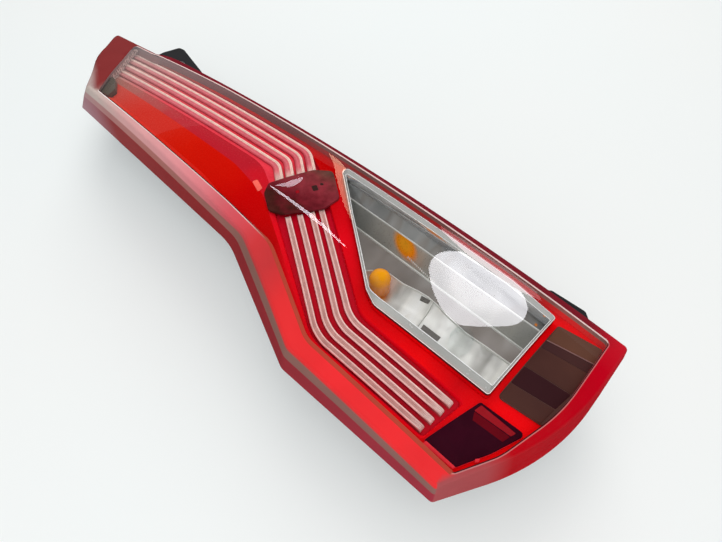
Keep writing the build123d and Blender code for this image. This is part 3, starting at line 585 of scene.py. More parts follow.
def smoked(name, a, b, scale=45.0, spots=None):
    n = Nodes(name)
    broad = n.noise(scale, 3.0)
    col = n.mix(n.remap(broad, 0.35, 0.65, 0.0, 1.0), a, b)
    if spots:
        vor = n.new("ShaderNodeTexVoronoi")
        vor.inputs["Scale"].default_value = 160.0
        n.link(n.coords(), vor.inputs["Vector"])
        col = n.mix(n.remap(vor.outputs["Distance"], 0.12, 0.2, 1.0, 0.0), col, spots)
    fine = n.noise(90.0, 3.0)
    return n.done(n.principled(col, n.remap(fine, 0.3, 0.7, 0.14, 0.20), 0.0, n.bump(broad, 0.02, 0.0004), spec=0.14))


def bridge_mat():
    """Smoked cover: near black on the outer side, maroon in the middle, brown towards the window."""
    n = Nodes("bridge_smoke")
    x, y, z = n.xyz()
    broad = n.noise(40.0, 3.0)
    k = n.math("ADD", x, n.remap(broad, 0.3, 0.7, -0.010, 0.010))
    col = n.ramp(n.remap(k, -0.121, -0.046, 0.0, 1.0), [(0.0, (0.040, 0.016, 0.012)), (0.16, (0.060, 0.014, 0.012)), (0.28, (0.14, 0.012, 0.020)), (0.60, (0.22, 0.030, 0.042)),
                                                        (0.80, (0.16, 0.042, 0.040)), (1.0, (0.12, 0.055, 0.044))])
    mottle = n.new("ShaderNodeHueSaturation")
    n.link(col, mottle.inputs["Color"])
    n.link(n.remap(n.noise(130.0, 4.0), 0.3, 0.7, 0.72, 1.25), mottle.inputs["Value"])
    col = mottle.outputs[0]
    fine = n.noise(500.0, 3.0)
    return n.done(n.principled(col, n.remap(fine, 0.3, 0.7, 0.08, 0.16), 0.0, n.bump(fine, 0.02, 0.0001), spec=0.14))


m_bridge = bridge_mat()
# Copies of one smoked plastic at different brightness, one for each facet of the corner cover: painted light and shade
# of facets turned differently to the light.
m_corner = smoked("corner_smoke", (0.098, 0.050, 0.033), (0.122, 0.060, 0.040), 14.0)
m_corner_mid = smoked("corner_smoke_mid", (0.060, 0.028, 0.024), (0.080, 0.038, 0.030), 14.0)
m_corner_low = smoked("corner_smoke_low", (0.048, 0.022, 0.024), (0.060, 0.028, 0.027), 14.0)
m_corner_ridge = moulded("corner_ridge", (0.25, 0.15, 0.14), (0.2, 0.3), spec=0.16)
m_corner_dark = smoked("corner_smoke_dark", (0.034, 0.012, 0.015), (0.042, 0.015, 0.018), 14.0)
m_corner_line = moulded("corner_line", (0.085, 0.048, 0.040), (0.2, 0.3), spec=0.16)
m_olive = moulded("bezel_olive", (0.085, 0.075, 0.055), (0.25, 0.35))
m_salmon = moulded("bezel_salmon", (0.88, 0.16, 0.12), (0.25, 0.35), spec=0.2)
m_stripe = moulded("reflex_stripe", (0.12, 0.002, 0.008), (0.15, 0.25), spec=0.1)
m_reflex_rim = moulded("reflex_rim", (0.80, 0.04, 0.06), (0.2, 0.3), spec=0.1)
m_reflex = smoked("reflex_dark", (0.022, 0.002, 0.008), (0.034, 0.003, 0.011), 40.0)
m_reflex_edge = moulded("reflex_edge", (0.30, 0.004, 0.012), (0.15, 0.25))


def bright(name, base, rough, wave=0.0, vary=0.05):
    """Metallised surface, with slight waviness of the moulding under it."""
    n = Nodes(name)
    fine = n.noise(1200.0, 2.0)
    broad = n.noise(35.0, 2.0)
    lo, hi = tuple(c * (1 - vary) for c in base), tuple(min(1.0, c * (1 + vary)) for c in base)
    col = n.mix(n.remap(broad, 0.3, 0.7, 0.0, 1.0), lo, hi)
    return n.done(n.principled(col, n.remap(fine, 0.3, 0.7, *rough), 0.92, n.bump(broad, wave, 0.0015) if wave else None))


def streaked(name, stops, scale, rough, metallic=0.6, glow=False):
    """Metallised surface with the streaks of the room painted into its colour, a painted reflection; when asked, it
    also takes the painted amber reflection of the bulb from the mesh.
    """
    n = Nodes(name)
    mp = n.new("ShaderNodeMapping")
    mp.inputs["Scale"].default_value = scale
    n.link(n.coords(), mp.inputs["Vector"])
    wide = n.noise(1.0, 2.0, 0.5, mp.outputs[0])
    fine = n.noise(1200.0, 2.0)
    col = n.ramp(n.remap(wide, 0.25, 0.75, 0.0, 1.0), stops)
    if glow:
        g = n.attr("glow")
        col = n.mix(n.remap(g, 0.18, 0.62, 0.0, 1.0, True), col, n.ramp(g, [(0.3, (0.80, 0.34, 0.05)), (0.6, (1.0, 0.33, 0.004)), (0.9, (1.0, 0.42, 0.01))]))
    bump = n.bump(wide, 0.05, 0.0015)
    return n.done(n.principled(col, n.remap(fine, 0.3, 0.7, *rough), metallic, bump))


m_chrome = bright("frame_bright", (0.90, 0.91, 0.93), (0.07, 0.12), 0.04)
m_flange = moulded("frame_flange", (0.43, 0.43, 0.41), (0.20, 0.28), 260.0, 0.04, 0.0001, 0.06, metallic=0.3)
# The reflector bands are painted darker and lighter, with the bowl near white: painted reflection of the room in the
# metallised surfaces.
m_band1 = streaked("reflector_bright", [(0.0, (0.17, 0.18, 0.18)), (0.5, (0.30, 0.30, 0.29)), (0.62, (0.26, 0.24, 0.22)), (1.0, (0.40, 0.40, 0.39))], (14.0, 40.0, 14.0), (0.16, 0.24))
m_band2 = streaked("reflector_mirror", [(0.0, (0.28, 0.29, 0.28)), (0.6, (0.42, 0.41, 0.38)), (1.0, (0.60, 0.58, 0.53))], (10.0, 30.0, 10.0), (0.26, 0.34), 0.5, True)
m_band3 = streaked("reflector_shelf", [(0.0, (0.20, 0.17, 0.15)), (0.5, (0.30, 0.27, 0.25)), (1.0, (0.42, 0.40, 0.38))], (20.0, 34.0, 20.0), (0.16, 0.24))
m_bowl = streaked("reflector_bowl", [(0.0, (0.30, 0.29, 0.27)), (0.28, (0.66, 0.65, 0.62)), (0.5, (0.86, 0.85, 0.81)), (0.8, (0.94, 0.94, 0.92)), (1.0, (0.76, 0.72, 0.64))], (12.0, 52.0, 12.0), (0.14, 0.24), 0.30, True)
m_sparkle = moulded("reflector_facets", (0.88, 0.88, 0.86), (0.08, 0.14), metallic=0.45)
m_line = moulded("frame_line", (0.92, 0.93, 0.92), (0.2, 0.3), spec=0.3)
m_rib = moulded("reflector_rib", (0.62, 0.62, 0.59), (0.2, 0.3), spec=0.3)
m_patch = moulded("reflector_patch", (0.15, 0.14, 0.13), (0.25, 0.35), 700.0, 0.15, 0.00015, 0.3, metallic=0.4)
m_glint = moulded("reflector_glint", (0.80, 0.24, 0.02), (0.2, 0.3), metallic=0.5)
# Near-black sides of the window frame: painted shade in the joint round the signal window.
m_frame_side = moulded("frame_side", (0.02, 0.008, 0.008), (0.3, 0.4))


def amber_glass():
    n = Nodes("bulb_amber")
    x, y, z = n.xyz()
    # Lighter, more yellow orange towards the top of the bulb: painted light.
    up = n.remap(z, 0.012, 0.040, 0.0, 1.0)
    broad = n.noise(120.0, 2.0)
    col = n.ramp(n.math("ADD", up, n.remap(broad, 0.3, 0.7, -0.05, 0.05)), [(0.0, (0.62, 0.12, 0.002)), (0.45, (1.0, 0.27, 0.003)), (1.0, (1.0, 0.40, 0.008))])
    fine = n.noise(600.0, 2.0)
    return n.done(n.principled(col, n.remap(fine, 0.3, 0.7, 0.06, 0.12), 0.0, n.bump(fine, 0.03, 0.0001), coat=0.5))


m_amber = amber_glass()
m_black = moulded("housing_black", (0.018, 0.018, 0.020), (0.42, 0.58), 1500.0, 0.3, 0.0002)
m_socket = moulded("holder_grey", (0.10, 0.10, 0.105), (0.4, 0.55), 1300.0, 0.25, 0.0002)
m_rubber = moulded("seal_rubber", (0.02, 0.02, 0.02), (0.6, 0.75), 1100.0, 0.3, 0.0002)
m_foam = moulded("gasket_foam", (0.035, 0.035, 0.037), (0.8, 0.95), 700.0, 0.7, 0.0006)
m_zinc = moulded("zinc_steel", (0.62, 0.62, 0.60), (0.22, 0.4), 900.0, 0.2, 0.0001, metallic=1.0)
m_nylon = moulded("stud_nylon", (0.72, 0.71, 0.66), (0.35, 0.5), 900.0, 0.15, 0.0001)
m_board = moulded("board_green", (0.03, 0.16, 0.07), (0.3, 0.45), 800.0, 0.1, 0.0001)
m_led = moulded("led_white", (0.85, 0.8, 0.6), (0.2, 0.3), 900.0, 0.1, 0.0001)
m_sealant = moulded("sealant", (0.02, 0.02, 0.022), (0.5, 0.65), 500.0, 0.4, 0.0003)
m_bulb = clear_shell("bulb_clear", (0.93, 0.95, 0.95), 0.03)

for node, m in {
    "housing": m_black, "tab_bushings": m_zinc, "led_board_screws": m_zinc, "locator_studs": m_nylon, "vent_cap": m_rubber,
    "body_gasket": m_foam, "lens_seal": m_sealant, "led_board": m_board, "guide_leds": m_led, "led_leads": m_rubber,
    "led_connector": m_black, "turn_bulb": m_amber, "reverse_bulb": m_bulb, "brake_bulb": m_bulb, "turn_socket": m_socket,
    "reverse_socket": m_socket, "brake_socket": m_socket, "turn_socket_seal": m_rubber, "reverse_socket_seal": m_rubber,
    "brake_socket_seal": m_rubber, "brake_reflector": m_chrome,
}.items():
    me = nodes[node].data
    me.materials.clear()
    me.materials.append(m)

# ---------------------------------------------------------------------------
# Outer lens
# ---------------------------------------------------------------------------
def step01(v, a, b):
    t = ((np.asarray(v, float) - a) / (b - a)).clip(0, 1)
    return t * t * (3 - 2 * t)


def lerp(a, b, t):
    return a + (b - a) * t


def shade(value, stops):
    """Colour between stops (position, colour) sorted by position."""
    xs = [s[0] for s in stops]
    return np.column_stack([np.interp(value, xs, [s[1][k] for s in stops]) for k in range(3)])


def clamp_in(pts, loop):
    """Points pulled onto an outline where they lie outside it."""
    out = pts.copy()
    a, d = loop, np.roll(loop, -1, 0) - loop
    ll = (d * d).sum(1)
    for i in np.where(~inside(loop, pts))[0]:
        t = (((pts[i] - a) * d).sum(1) / ll).clip(0, 1)
        q = a + t[:, None] * d
        out[i] = q[((pts[i] - q) ** 2).sum(1).argmin()]
    return out


def loop_inward(loop):
    t = np.roll(loop, -1, 0) - np.roll(loop, 1, 0)
    t = t / np.linalg.norm(t, axis=1)[:, None]
    return np.column_stack([-t[:, 1], t[:, 0]])


def face_normal(x, y):
    e = 0.05
    n = Vector((float(zface(x - e, y) - zface(x + e, y)) / (2 * e), float(zface(x, y - e) - zface(x, y + e)) / (2 * e), 1.0))
    return n.normalized()


def true_face(ob, index):
    """Shading normals of the lens face taken from its exact curve."""
    me = ob.data
    cn = [Vector(c.vector) for c in me.corner_normals]
    for p in me.polygons:
        if p.material_index == index:
            for li in p.loop_indices:
                co = me.vertices[me.loops[li].vertex_index].co / MM
                cn[li] = face_normal(co.x, co.y)
    me.normals_split_custom_set(cn)


ROUND = 2.4
rim_s, counts = sample(rim_v, step=4.0, arc_step=0.9)
end_s, _ = sample(between(rim_v, crest_v, WALL_H / LOFT_H), counts)
low_pt, high_pt = at_z(rim_s, RIM_Z), at_z(end_s, RIM_Z + WALL_H)
lo_t, hi_t = np.zeros(len(rim_s)), np.ones(len(rim_s))
for _ in range(50):
    t = (lo_t + hi_t) / 2
    p = low_pt + (high_pt - low_pt) * t[:, None]
    under = p[:, 2] < zface(p[:, 0], p[:, 1])
    lo_t, hi_t = np.where(under, t, lo_t), np.where(under, hi_t, t)
edge_pt = low_pt + (high_pt - low_pt) * lo_t[:, None]
run = edge_pt[:, :2]
inward = loop_inward(run)
top_z = edge_pt[:, 2]
lowly = step01(-run[:, 1], -60.0, 60.0)
crease_z = RIM_Z + 0.58 * (top_z - RIM_Z)
wall_z = top_z - ROUND
line_z = np.minimum(RIM_Z + lerp(0.80, 0.93, lowly) * (top_z - RIM_Z), wall_z - 1.0)


def wall_at(z):
    k = ((z - RIM_Z) / (top_z - RIM_Z))[:, None]
    out = np.where(z < crease_z, (z - RIM_Z) / (crease_z - RIM_Z), (top_z - z) / (top_z - crease_z))
    p = low_pt + (edge_pt - low_pt) * k
    p[:, :2] -= inward * (0.7 * out)[:, None]
    return p


# The third colour is the pale colour of a painted highlight on the top end of the lens.
TOP_RED, WALL_RED, PAINTED_CAP_HIGHLIGHT = (0.22, 0.026, 0.026), (0.25, 0.018, 0.026), (0.47, 0.37, 0.35)


def wall_colour(y, part):
    """Colour down the outer side: part 0 wall, dark maroon as painted shade; 1 line above the crease, a brown-grey
    painted reflection; 2 band up to the face, red, with a pale pink painted reflection towards the top end.
    """
    if part == 0:
        return shade(-y, [(-290, (0.40, 0.24, 0.27)), (-250, (0.34, 0.15, 0.17)), (-210, (0.27, 0.040, 0.040)), (-60, (0.25, 0.020, 0.022)), (60, (0.26, 0.018, 0.024)),
                          (200, (0.30, 0.024, 0.038)), (270, (0.32, 0.026, 0.044))])
    if part == 1:
        return shade(-y, [(-270, (0.42, 0.27, 0.27)), (-210, (0.42, 0.19, 0.18)), (-130, (0.40, 0.15, 0.13)), (-40, (0.32, 0.13, 0.11)), (40, (0.24, 0.11, 0.09)), (270, (0.24, 0.11, 0.095))])
    return shade(-y, [(-280, (0.46, 0.41, 0.37)), (-230, (0.55, 0.44, 0.40)), (-180, (0.62, 0.34, 0.33)), (-100, (0.68, 0.29, 0.30)), (-40, (0.66, 0.19, 0.21)),
                      (0, (0.60, 0.09, 0.11)), (40, (0.57, 0.038, 0.042)), (62, (0.51, 0.034, 0.037)), (92, (0.70, 0.028, 0.03)), (160, (0.76, 0.024, 0.028))])


def rim_colour(pts, nrm, part):
    """Colour of the solid part of the lens, with the painted shade and painted reflections of wall_colour and a painted
    highlight on the top end.
    """
    x, y, z = pts[:, 0], pts[:, 1], pts[:, 2]
    n = len(pts)
    left = wall_colour(y, part)
    low = shade(x, [(-205, (0.36, 0.07, 0.075)), (-176, (0.38, 0.06, 0.065)), (-158, (0.42, 0.001, 0.006)), (-60, (0.46, 0.001, 0.010)), (-20, (0.52, 0.004, 0.016))])
    # Painted highlight on the top end: a pale patch placed where it falls in the camera's view.
    ray = pts - EYE
    u, w = 361.0 + 580.0 * (ray @ RGT) / (ray @ FWD), 271.0 - 580.0 * (ray @ UPV) / (ray @ FWD)
    painted_highlight = (1 - step01(u, 89.5, 98.5)) * step01(w, 55.0, 72.0)
    cap = lerp(np.tile(TOP_RED, (n, 1)), np.tile(PAINTED_CAP_HIGHLIGHT, (n, 1)), 0.85 * painted_highlight[:, None])
    side = np.tile((0.17, 0.006, 0.014), (n, 1))
    w_low = np.maximum(step01(nrm[:, 1], 0.45, 0.7), step01(-nrm[:, 0], 0.2, 0.5) * step01(-y, 240.0, 284.0))[:, None]
    w_cap = np.maximum(step01(-nrm[:, 1], 0.25, 0.45) * step01(y, 215, 245), step01(-nrm[:, 0], 0.2, 0.5) * step01(y, 232, 250))[:, None]
    w_side = (step01(-nrm[:, 0], 0.5, 0.8) * (1 - step01(y, 255, 285)) * step01(y, -321, -286))[:, None]
    c = left * (1 - w_low) + low * w_low
    c = c * (1 - w_cap) + cap * w_cap
    return c * (1 - w_side) + side * w_side


loops, cols = [], []
for z, part in ((np.full(len(run), RIM_Z), 0), (lerp(RIM_Z, crease_z, 0.2), 0), (lerp(RIM_Z, crease_z, 0.4), 0), (lerp(RIM_Z, crease_z, 0.6), 0), (lerp(RIM_Z, crease_z, 0.8), 0), (crease_z - 0.6, 0), (crease_z + 0.6, 1), (lerp(crease_z, line_z, 0.85), 1),
                (line_z + 0.6, 2), (lerp(line_z, wall_z, 0.4), 2), (lerp(line_z, wall_z, 0.7), 2), (wall_z, 2)):
    loops.append(wall_at(z))
    cols.append(rim_colour(loops[-1], inward, part))
wall_top = loops[-1]
face_xy = run + inward * ROUND
face_edge = at_depth(face_xy, 0.0)
K = 0.5523
c1, c2 = wall_top + (edge_pt - wall_top) * K, face_edge + (edge_pt - face_edge) * K
for k in range(1, 7):
    s = k / 6
    loops.append((1 - s) ** 3 * wall_top + 3 * s * (1 - s) ** 2 * c1 + 3 * s * s * (1 - s) * c2 + s ** 3 * face_edge)
    cols.append(rim_colour(loops[-1], inward, 2))

lens = Mesh()
lens.rings(loops, 0, col=cols)
foot, _ = sample(inset(rim_v, 6.4), counts)
lens.rings([at_z(foot, RIM_Z), at_z(rim_s, RIM_Z)], 0, flip=True, col=[cols[0], cols[0]])
line_raw, line_c = sample(face_line, step=4.0, arc_step=1.2)
line_s = clamp_in(line_raw, run + inward * (ROUND + 1.1))
win_s, win_c = sample(window, step=4.0, arc_step=1.5)
v, f = fill(face_xy, [win_s], 3.6, [line_s])
mid = v[f].mean(1)
near_edge = np.array([((p - run) ** 2).sum(1).argmin() for p in v])
face_c = rim_colour(at_depth(v, 0.0), inward[near_edge], 2)
for base, out, sides, where in (((-117.8, 234.2), (0.943, 0.331), ((1.0, 0.0), (0.7, -0.71)), (v[:, 1] > 205) & (v[:, 0] < -85)),
                                ((-194.4, -273.0), (-0.46, -0.888), ((1.0, 0.0), (0.3, 0.95)), (v[:, 1] < -225) & (v[:, 0] < -165))):
    w = step01((v - np.array(base)) @ np.array(out), -2.5, 2.5)[:, None]
    one, two = (rim_colour(at_depth(v, 0.0), np.tile(sd, (len(v), 1)), 2) for sd in sides)
    face_c[where] = lerp(one, two, w)[where]
lens.patch(v, f, zface(v[:, 0], v[:, 1]), np.where(inside(line_s, mid), 1, 0), col=face_c)
# fine bead along the edge of the see-through face; its pale outer side and the near-white stretch on the upper left are
# painted highlights of the step edge
line_in = loop_inward(line_s)
bead_x = (-0.8, -0.5, -0.05, 0.05, 0.5, 0.8)
wide = lerp(1.0, 2.0, step01(-line_s[:, 1], 20.0, 70.0) * (1 - step01(-line_in[:, 0], 0.3, 0.6)) * (1 - step01(line_in[:, 1], 0.2, 0.5)))
bead = []
for d, h in zip(bead_x, (0.0, -0.18, -0.18, -0.1, -0.1, 0.0)):
    b = line_s + line_in * (d * wide)[:, None]
    bead.append(at_depth(b, h))
w_cap = step01(-line_in[:, 1], 0.3, 0.5)[:, None] * step01(line_s[:, 1], 200, 225)[:, None]
w_right = step01(-line_in[:, 0], 0.5, 0.8)[:, None]
w_low = step01(line_in[:, 1], 0.3, 0.6)[:, None]
body = rim_colour(at_depth(line_s, 0.0), line_in, 2)
# Bead colours: the pale and the near-white ones are painted highlights of the step edge.
brown = np.tile((0.40, 0.05, 0.030), (len(line_s), 1))
painted_highlight = np.tile((0.72, 0.52, 0.50), (len(line_s), 1))
dark = np.tile((0.05, 0.006, 0.008), (len(line_s), 1))
low_fade = step01(-line_s[:, 1], 10.0, 50.0)[:, None] * (1 - w_low) * (1 - w_right)
outer_c = lerp(painted_highlight, body, np.clip(w_cap + w_low * 0.75, 0, 1))
outer_c = lerp(outer_c, np.tile((0.97, 0.90, 0.88), (len(line_s), 1)), 0.8 * step01(line_in[:, 0], 0.7, 0.9)[:, None] * step01(line_s[:, 1], 120.0, 215.0)[:, None])
outer_c = lerp(outer_c, brown, low_fade)
inner_c = lerp(dark, body, np.clip(w_cap, 0, 1))
inner_c = lerp(lerp(inner_c, brown, low_fade), painted_highlight, w_right)
lens.rings(bead, 0, col=[outer_c, outer_c, outer_c, inner_c, inner_c, inner_c])
ob_lens = ride(lens.make("outer_lens_red", [m_band, m_face], 28.0), "lens_red", "outer_lens_red")
true_face(ob_lens, 1)
ob_lens.visible_shadow = False

clear = Mesh()
v, f = fill(win_s, (), 3.6)
clear.patch(v, f, zface(v[:, 0], v[:, 1]))
ob_clear = ride(clear.make("outer_lens_clear", [m_clear]), "lens_clear", "outer_lens_clear")
true_face(ob_clear, 0)

# ---------------------------------------------------------------------------
# Inner bezel, trough and light guides
# ---------------------------------------------------------------------------
val_s, val_c = sample(valley, step=4.0, arc_step=1.5)
cha_s, _ = sample(channel, val_c)
open_s, open_c = sample(inset(window, -1.1), step=4.0, arc_step=0.8)


def tray_off(p):
    """Depth of the trough's floor under the lens face."""
    return lerp(15.0, 13.2, step01(p[:, 1], -25.0, 15.0))


ix, iy = line_in[:, 0], line_in[:, 1]
ly = line_s[:, 1]
w_r, w_t, w_b = step01(-ix, 0.4, 0.8), step01(-iy, 0.3, 0.55) * step01(ly, 190, 225), step01(iy, 0.25, 0.5)
reach = lerp(1.6, 8.0, step01(ly, -10.0, 70.0))
reach = lerp(reach, 1.0, w_r)
reach = lerp(reach, 0.8, w_b)
reach = lerp(reach, -20.0, w_t)
sheet_s = line_s + line_in * reach[:, None]
sheet_s[:, 0] = np.minimum(sheet_s[:, 0], -31.4)
sheet_s = clamp_in(sheet_s, run + inward * (ROUND + 4.0))
lip_s = line_s.copy()
lip_s[:, 0] += 2.2 * w_r
bez = Mesh()
v, f = fill(sheet_s, [val_s, open_s], 6.0)
bez.patch(v, f, zface(v[:, 0], v[:, 1], 11.0))
# Lip colours: red_lip is the lip's own red. On the right edge the upper ring takes a grey-brown painted reflection, and
# the lower ring a strip that is greyish as painted reflection in its upper part and red lower down; under the top end
# both take pale mauve painted reflection.
red_lip = shade(-ly, [(-240, (0.66, 0.09, 0.055)), (-180, (0.68, 0.03, 0.014)), (0, (0.66, 0.012, 0.008)), (120, (0.80, 0.006, 0.012)), (300, (0.74, 0.006, 0.012))])
reflection_veil = shade(-ly, [(-290, (0.30, 0.20, 0.19)), (-150, (0.22, 0.10, 0.10)), (-30, (0.16, 0.06, 0.06)), (10, (0.20, 0.10, 0.09)), (60, (0.24, 0.14, 0.12)), (270, (0.30, 0.17, 0.14))])
strip = shade(-ly, [(-290, (0.28, 0.18, 0.17)), (-150, (0.20, 0.09, 0.09)), (-40, (0.16, 0.05, 0.05)), (30, (0.42, 0.03, 0.03)), (100, (0.55, 0.02, 0.02)), (300, (0.75, 0.02, 0.02))])
low_c = lerp(lerp(red_lip, strip, w_r[:, None]), np.tile((0.20, 0.12, 0.11), (len(ly), 1)), w_t[:, None])
high_c = lerp(lerp(red_lip, reflection_veil, w_r[:, None]), np.tile((0.34, 0.20, 0.19), (len(ly), 1)), w_t[:, None])


def lip_at(t, off):
    p = lerp(sheet_s, lip_s, t)
    return at_depth(p, off)


bez.rings([lip_at(0.0, 10.97), lip_at(0.55, 6.8), lip_at(0.62, 6.2), lip_at(1.0, 3.3)], 3, flip=True, col=[low_c, low_c, high_c, high_c])
skirt_s, _ = sample(inset(between(rim_v, crest_v, 40.0 / LOFT_H), 6.0), step=5.0, arc_step=2.0)
bez.rings([at_z(skirt_s, 5.0), at_depth(skirt_s, 16.0)], 1)
mid_s = lerp(val_s, cha_s, 0.8)
bez.rings([at_depth(cha_s, tray_off(cha_s)), at_depth(mid_s, lerp(11.0, tray_off(mid_s), 0.45)), at_depth(lerp(val_s, cha_s, 0.08), 11.12), at_depth(val_s, 11.0)], 1, flip=True)
bez.rings([at_depth(open_s, 13.2), at_depth(open_s, 11.0)], 2, flip=True)
ob_bezel = ride(bez.make("inner_bezel", [m_bezel, m_slope, m_void, m_lip], 30.0), "bezel_red", "inner_bezel")

tray = Mesh()
v, f = fill(cha_s, (), 7.0)
tray.patch(v, f, zface(v[:, 0], v[:, 1], tray_off(v)))
under_s, _ = sample(inset(channel, -1.2), val_c)
tray.rings([at_depth(under_s, 19.0), at_depth(under_s, tray_off(under_s) + 0.05), at_depth(cha_s, tray_off(cha_s))], 0)
v, f = fill(under_s, (), 9.0)
tray.patch(v, f, zface(v[:, 0], v[:, 1], 19.0), flip=True)
end = np.where((w_t > 0.6) & (line_s[:, 0] > -96.0))[0]
back = line_s[end] - line_in[end] * 1.4
tray.rings([at_depth(back, 15.2), at_depth(back, 9.4), at_depth(back, 4.0)], 1, closed=False)
ob_tray = ride(tray.make("guide_tray", [m_tray, m_frost]), "tray_red", "guide_tray")


def centre_line(path, bend, step=2.0):
    """Points along a bent path with a rounded bend."""
    p0, p1, p2 = (np.array(p, float) for p in path)
    a, b = (p0 - p1) / np.linalg.norm(p0 - p1), (p2 - p1) / np.linalg.norm(p2 - p1)
    half = math.acos(float(a @ b)) / 2
    t = bend / math.tan(half)
    c = p1 + (a + b) / np.linalg.norm(a + b) * bend / math.sin(half)
    s, e = p1 + a * t - c, p1 + b * t - c
    a0 = math.atan2(s[1], s[0])
    da = (math.atan2(e[1], e[0]) - a0 + math.pi) % (2 * math.pi) - math.pi
    pts = []
    n = max(2, int(np.linalg.norm(p1 + a * t - p0) / step))
    pts += [p0 + (p1 + a * t - p0) * k / n for k in range(n)]
    n = max(6, int(bend * abs(da) / 1.0))
    pts += [c + bend * np.array([math.cos(a0 + da * k / n), math.sin(a0 + da * k / n)]) for k in range(n)]
    n = max(2, int(np.linalg.norm(p2 - (p1 + b * t)) / 1.0))
    pts += [p1 + b * t + (p2 - p1 - b * t) * k / n for k in range(n + 1)]
    return np.array(pts)


def guide(name, path, bend, section, mat, slot, dive=(0.0, 0.0), head=0.0):
    """Bar swept along its path; section holds (side, depth) pairs, and dive bends the start and the end down."""
    pts = centre_line(path, bend)
    run = np.concatenate([[0], np.cumsum(np.linalg.norm(np.diff(pts, axis=0), axis=1))])
    tan = np.gradient(pts, axis=0)
    tan /= np.linalg.norm(tan, axis=1)[:, None]
    left = np.column_stack([-tan[:, 1], tan[:, 0]])
    if left[:, 0].mean() > 0:
        left = -left
    total = run[-1]
    rows, ends = [], []
    w = max(abs(s) for s, _ in section)
    across = [(w - s) / (2 * w) for s, _ in section]
    for i, p in enumerate(pts):
        sink = 0.0
        for edge, far in ((run[i], dive[0]), (total - run[i], dive[1])):
            if far and edge < far:
                q = 1 - edge / far
                sink += far * 0.62 * (1 - math.sqrt(max(0.0, 1 - q * q)))
        xy = np.array([p + left[i] * s for s, _ in section])
        d = np.array([zz for _, zz in section])
        base = zface(xy[:, 0], xy[:, 1], 11.0)
        rows.append(np.column_stack([xy, base - (d - 11.0) - sink]))
        ends.append(max(1 - run[i] / 14.0 if dive[0] else 0.0, 1 - run[i] / head if head else 0.0, 1 - (total - run[i]) / 18.0 if dive[1] else 0.0, 0.0))
    g = Mesh()
    flip = np.cross(pts[1] - pts[0], left[0]) > 0
    n = len(section)
    g.rings(rows, 0, closed=False, flip=bool(flip), across=np.array([across] * len(rows)), tip=np.array([[e] * n for e in ends]))
    for row, turn, e in ((rows[0], False, ends[0]), (rows[-1], True, ends[-1])):
        s = g.put(row, across=across, tip=e)
        idx = [s + k for k in range(len(row))]
        g.face(idx if turn != flip else idx[::-1])
    ob = g.make(name, [mat], 50.0)
    return ride(ob, slot, name)


def fluted(w, edge, flutes, top, groove, low=16.4):
    """Section of a guide: raised edges and flutes between them; the first pair is on the outer side."""
    h = w / 2
    sec = [(h, low), (h, top + 1.1), (h - 0.25, top + 0.35), (h - edge * 0.5, top), (h - edge, top + 0.25)]
    n = flutes * 8
    for k in range(1, n):
        s = h - edge - (w - 2 * edge) * k / n
        sec.append((s, top + 0.35 + groove * abs(math.sin(math.pi * flutes * k / n))))
    sec += [(-h + edge, top + 0.25), (-h + edge * 0.5, top), (-h + 0.25, top + 0.35), (-h, top + 1.1), (-h, low)]
    return sec


for i, (path, bend) in enumerate(upper_paths, 1):
    guide(f"upper_light_guide_{i}", path, bend, fluted(8.3, 1.3, 3, 11.0, 0.5, 13.1), m_upper, "guide_clear", (0.0, 7.0), 6.0)
for i, (path, bend) in enumerate(lower_paths, 1):
    guide(f"lower_light_guide_{i}", path, bend, fluted(5.4, 1.1, 2, 11.0, 0.5, 14.9), m_lower, "guide_lower", (7.0, 3.0))

# ---------------------------------------------------------------------------
# Covers on the bezel
# ---------------------------------------------------------------------------
def pad(mesh, corners, top, low, mat, r=0.8, bevel=0.3):
    """Small plate with the corners given counter-clockwise."""
    area2 = sum(a[0] * b[1] - b[0] * a[1] for a, b in zip(corners, corners[1:] + corners[:1]))
    pts = corners if area2 > 0 else corners[::-1]
    plate(mesh, [(x, y, r) for x, y in pts], top, low, bevel, 4.0, mat)


br = Mesh()
plate(br, bridge, 8.6, 10.95, 0.7, 4.0)
pad(br, [(-76.0, -30.5), (-71.5, -33.0), (-75.0, -38.5), (-79.5, -36.0)], 8.3, 8.7, 1)
pad(br, [(-90.0, -24.0), (-87.0, -25.5), (-89.0, -28.5), (-92.0, -27.0)], 8.3, 8.7, 2)
pad(br, [(-68.0, -33.5), (-65.5, -35.0), (-67.0, -37.5), (-69.5, -36.0)], 8.3, 8.7, 1)
ob_bridge = ride(br.make("bridge_cover", [m_bridge, m_void, m_reflex_edge], 20.0), "bridge_smoke", "bridge_cover")

rf = Mesh()
plate(rf, reflex, 8.6, 10.95, 0.6, 4.0, 0, 1)
pad(rf, [(-189.6, -243.5), (-186.6, -244.2), (-187.2, -271.8), (-189.4, -270.6)], 8.3, 10.9, 1, 0.5, 0.2)
pad(rf, [(-141.9, -261.0), (-141.9, -292.0), (-146.0, -290.0), (-148.4, -259.0)], 8.35, 8.7, 2, 0.6, 0.2)
pad(rf, [(-148.8, -259.5), (-146.6, -290.0), (-153.0, -287.5), (-154.6, -262.0)], 8.45, 8.7, 3, 0.6, 0.2)
pad(rf, [(-174.5, -279.1), (-171.8, -281.6), (-174.3, -282.6), (-176.5, -280.4)], 8.4, 8.7, 1, 0.5, 0.2)
ob_reflex = ride(rf.make("reflex_reflector", [m_reflex, m_reflex_rim, m_reflex_edge, m_stripe], 20.0), "reflex_dark", "reflex_reflector")

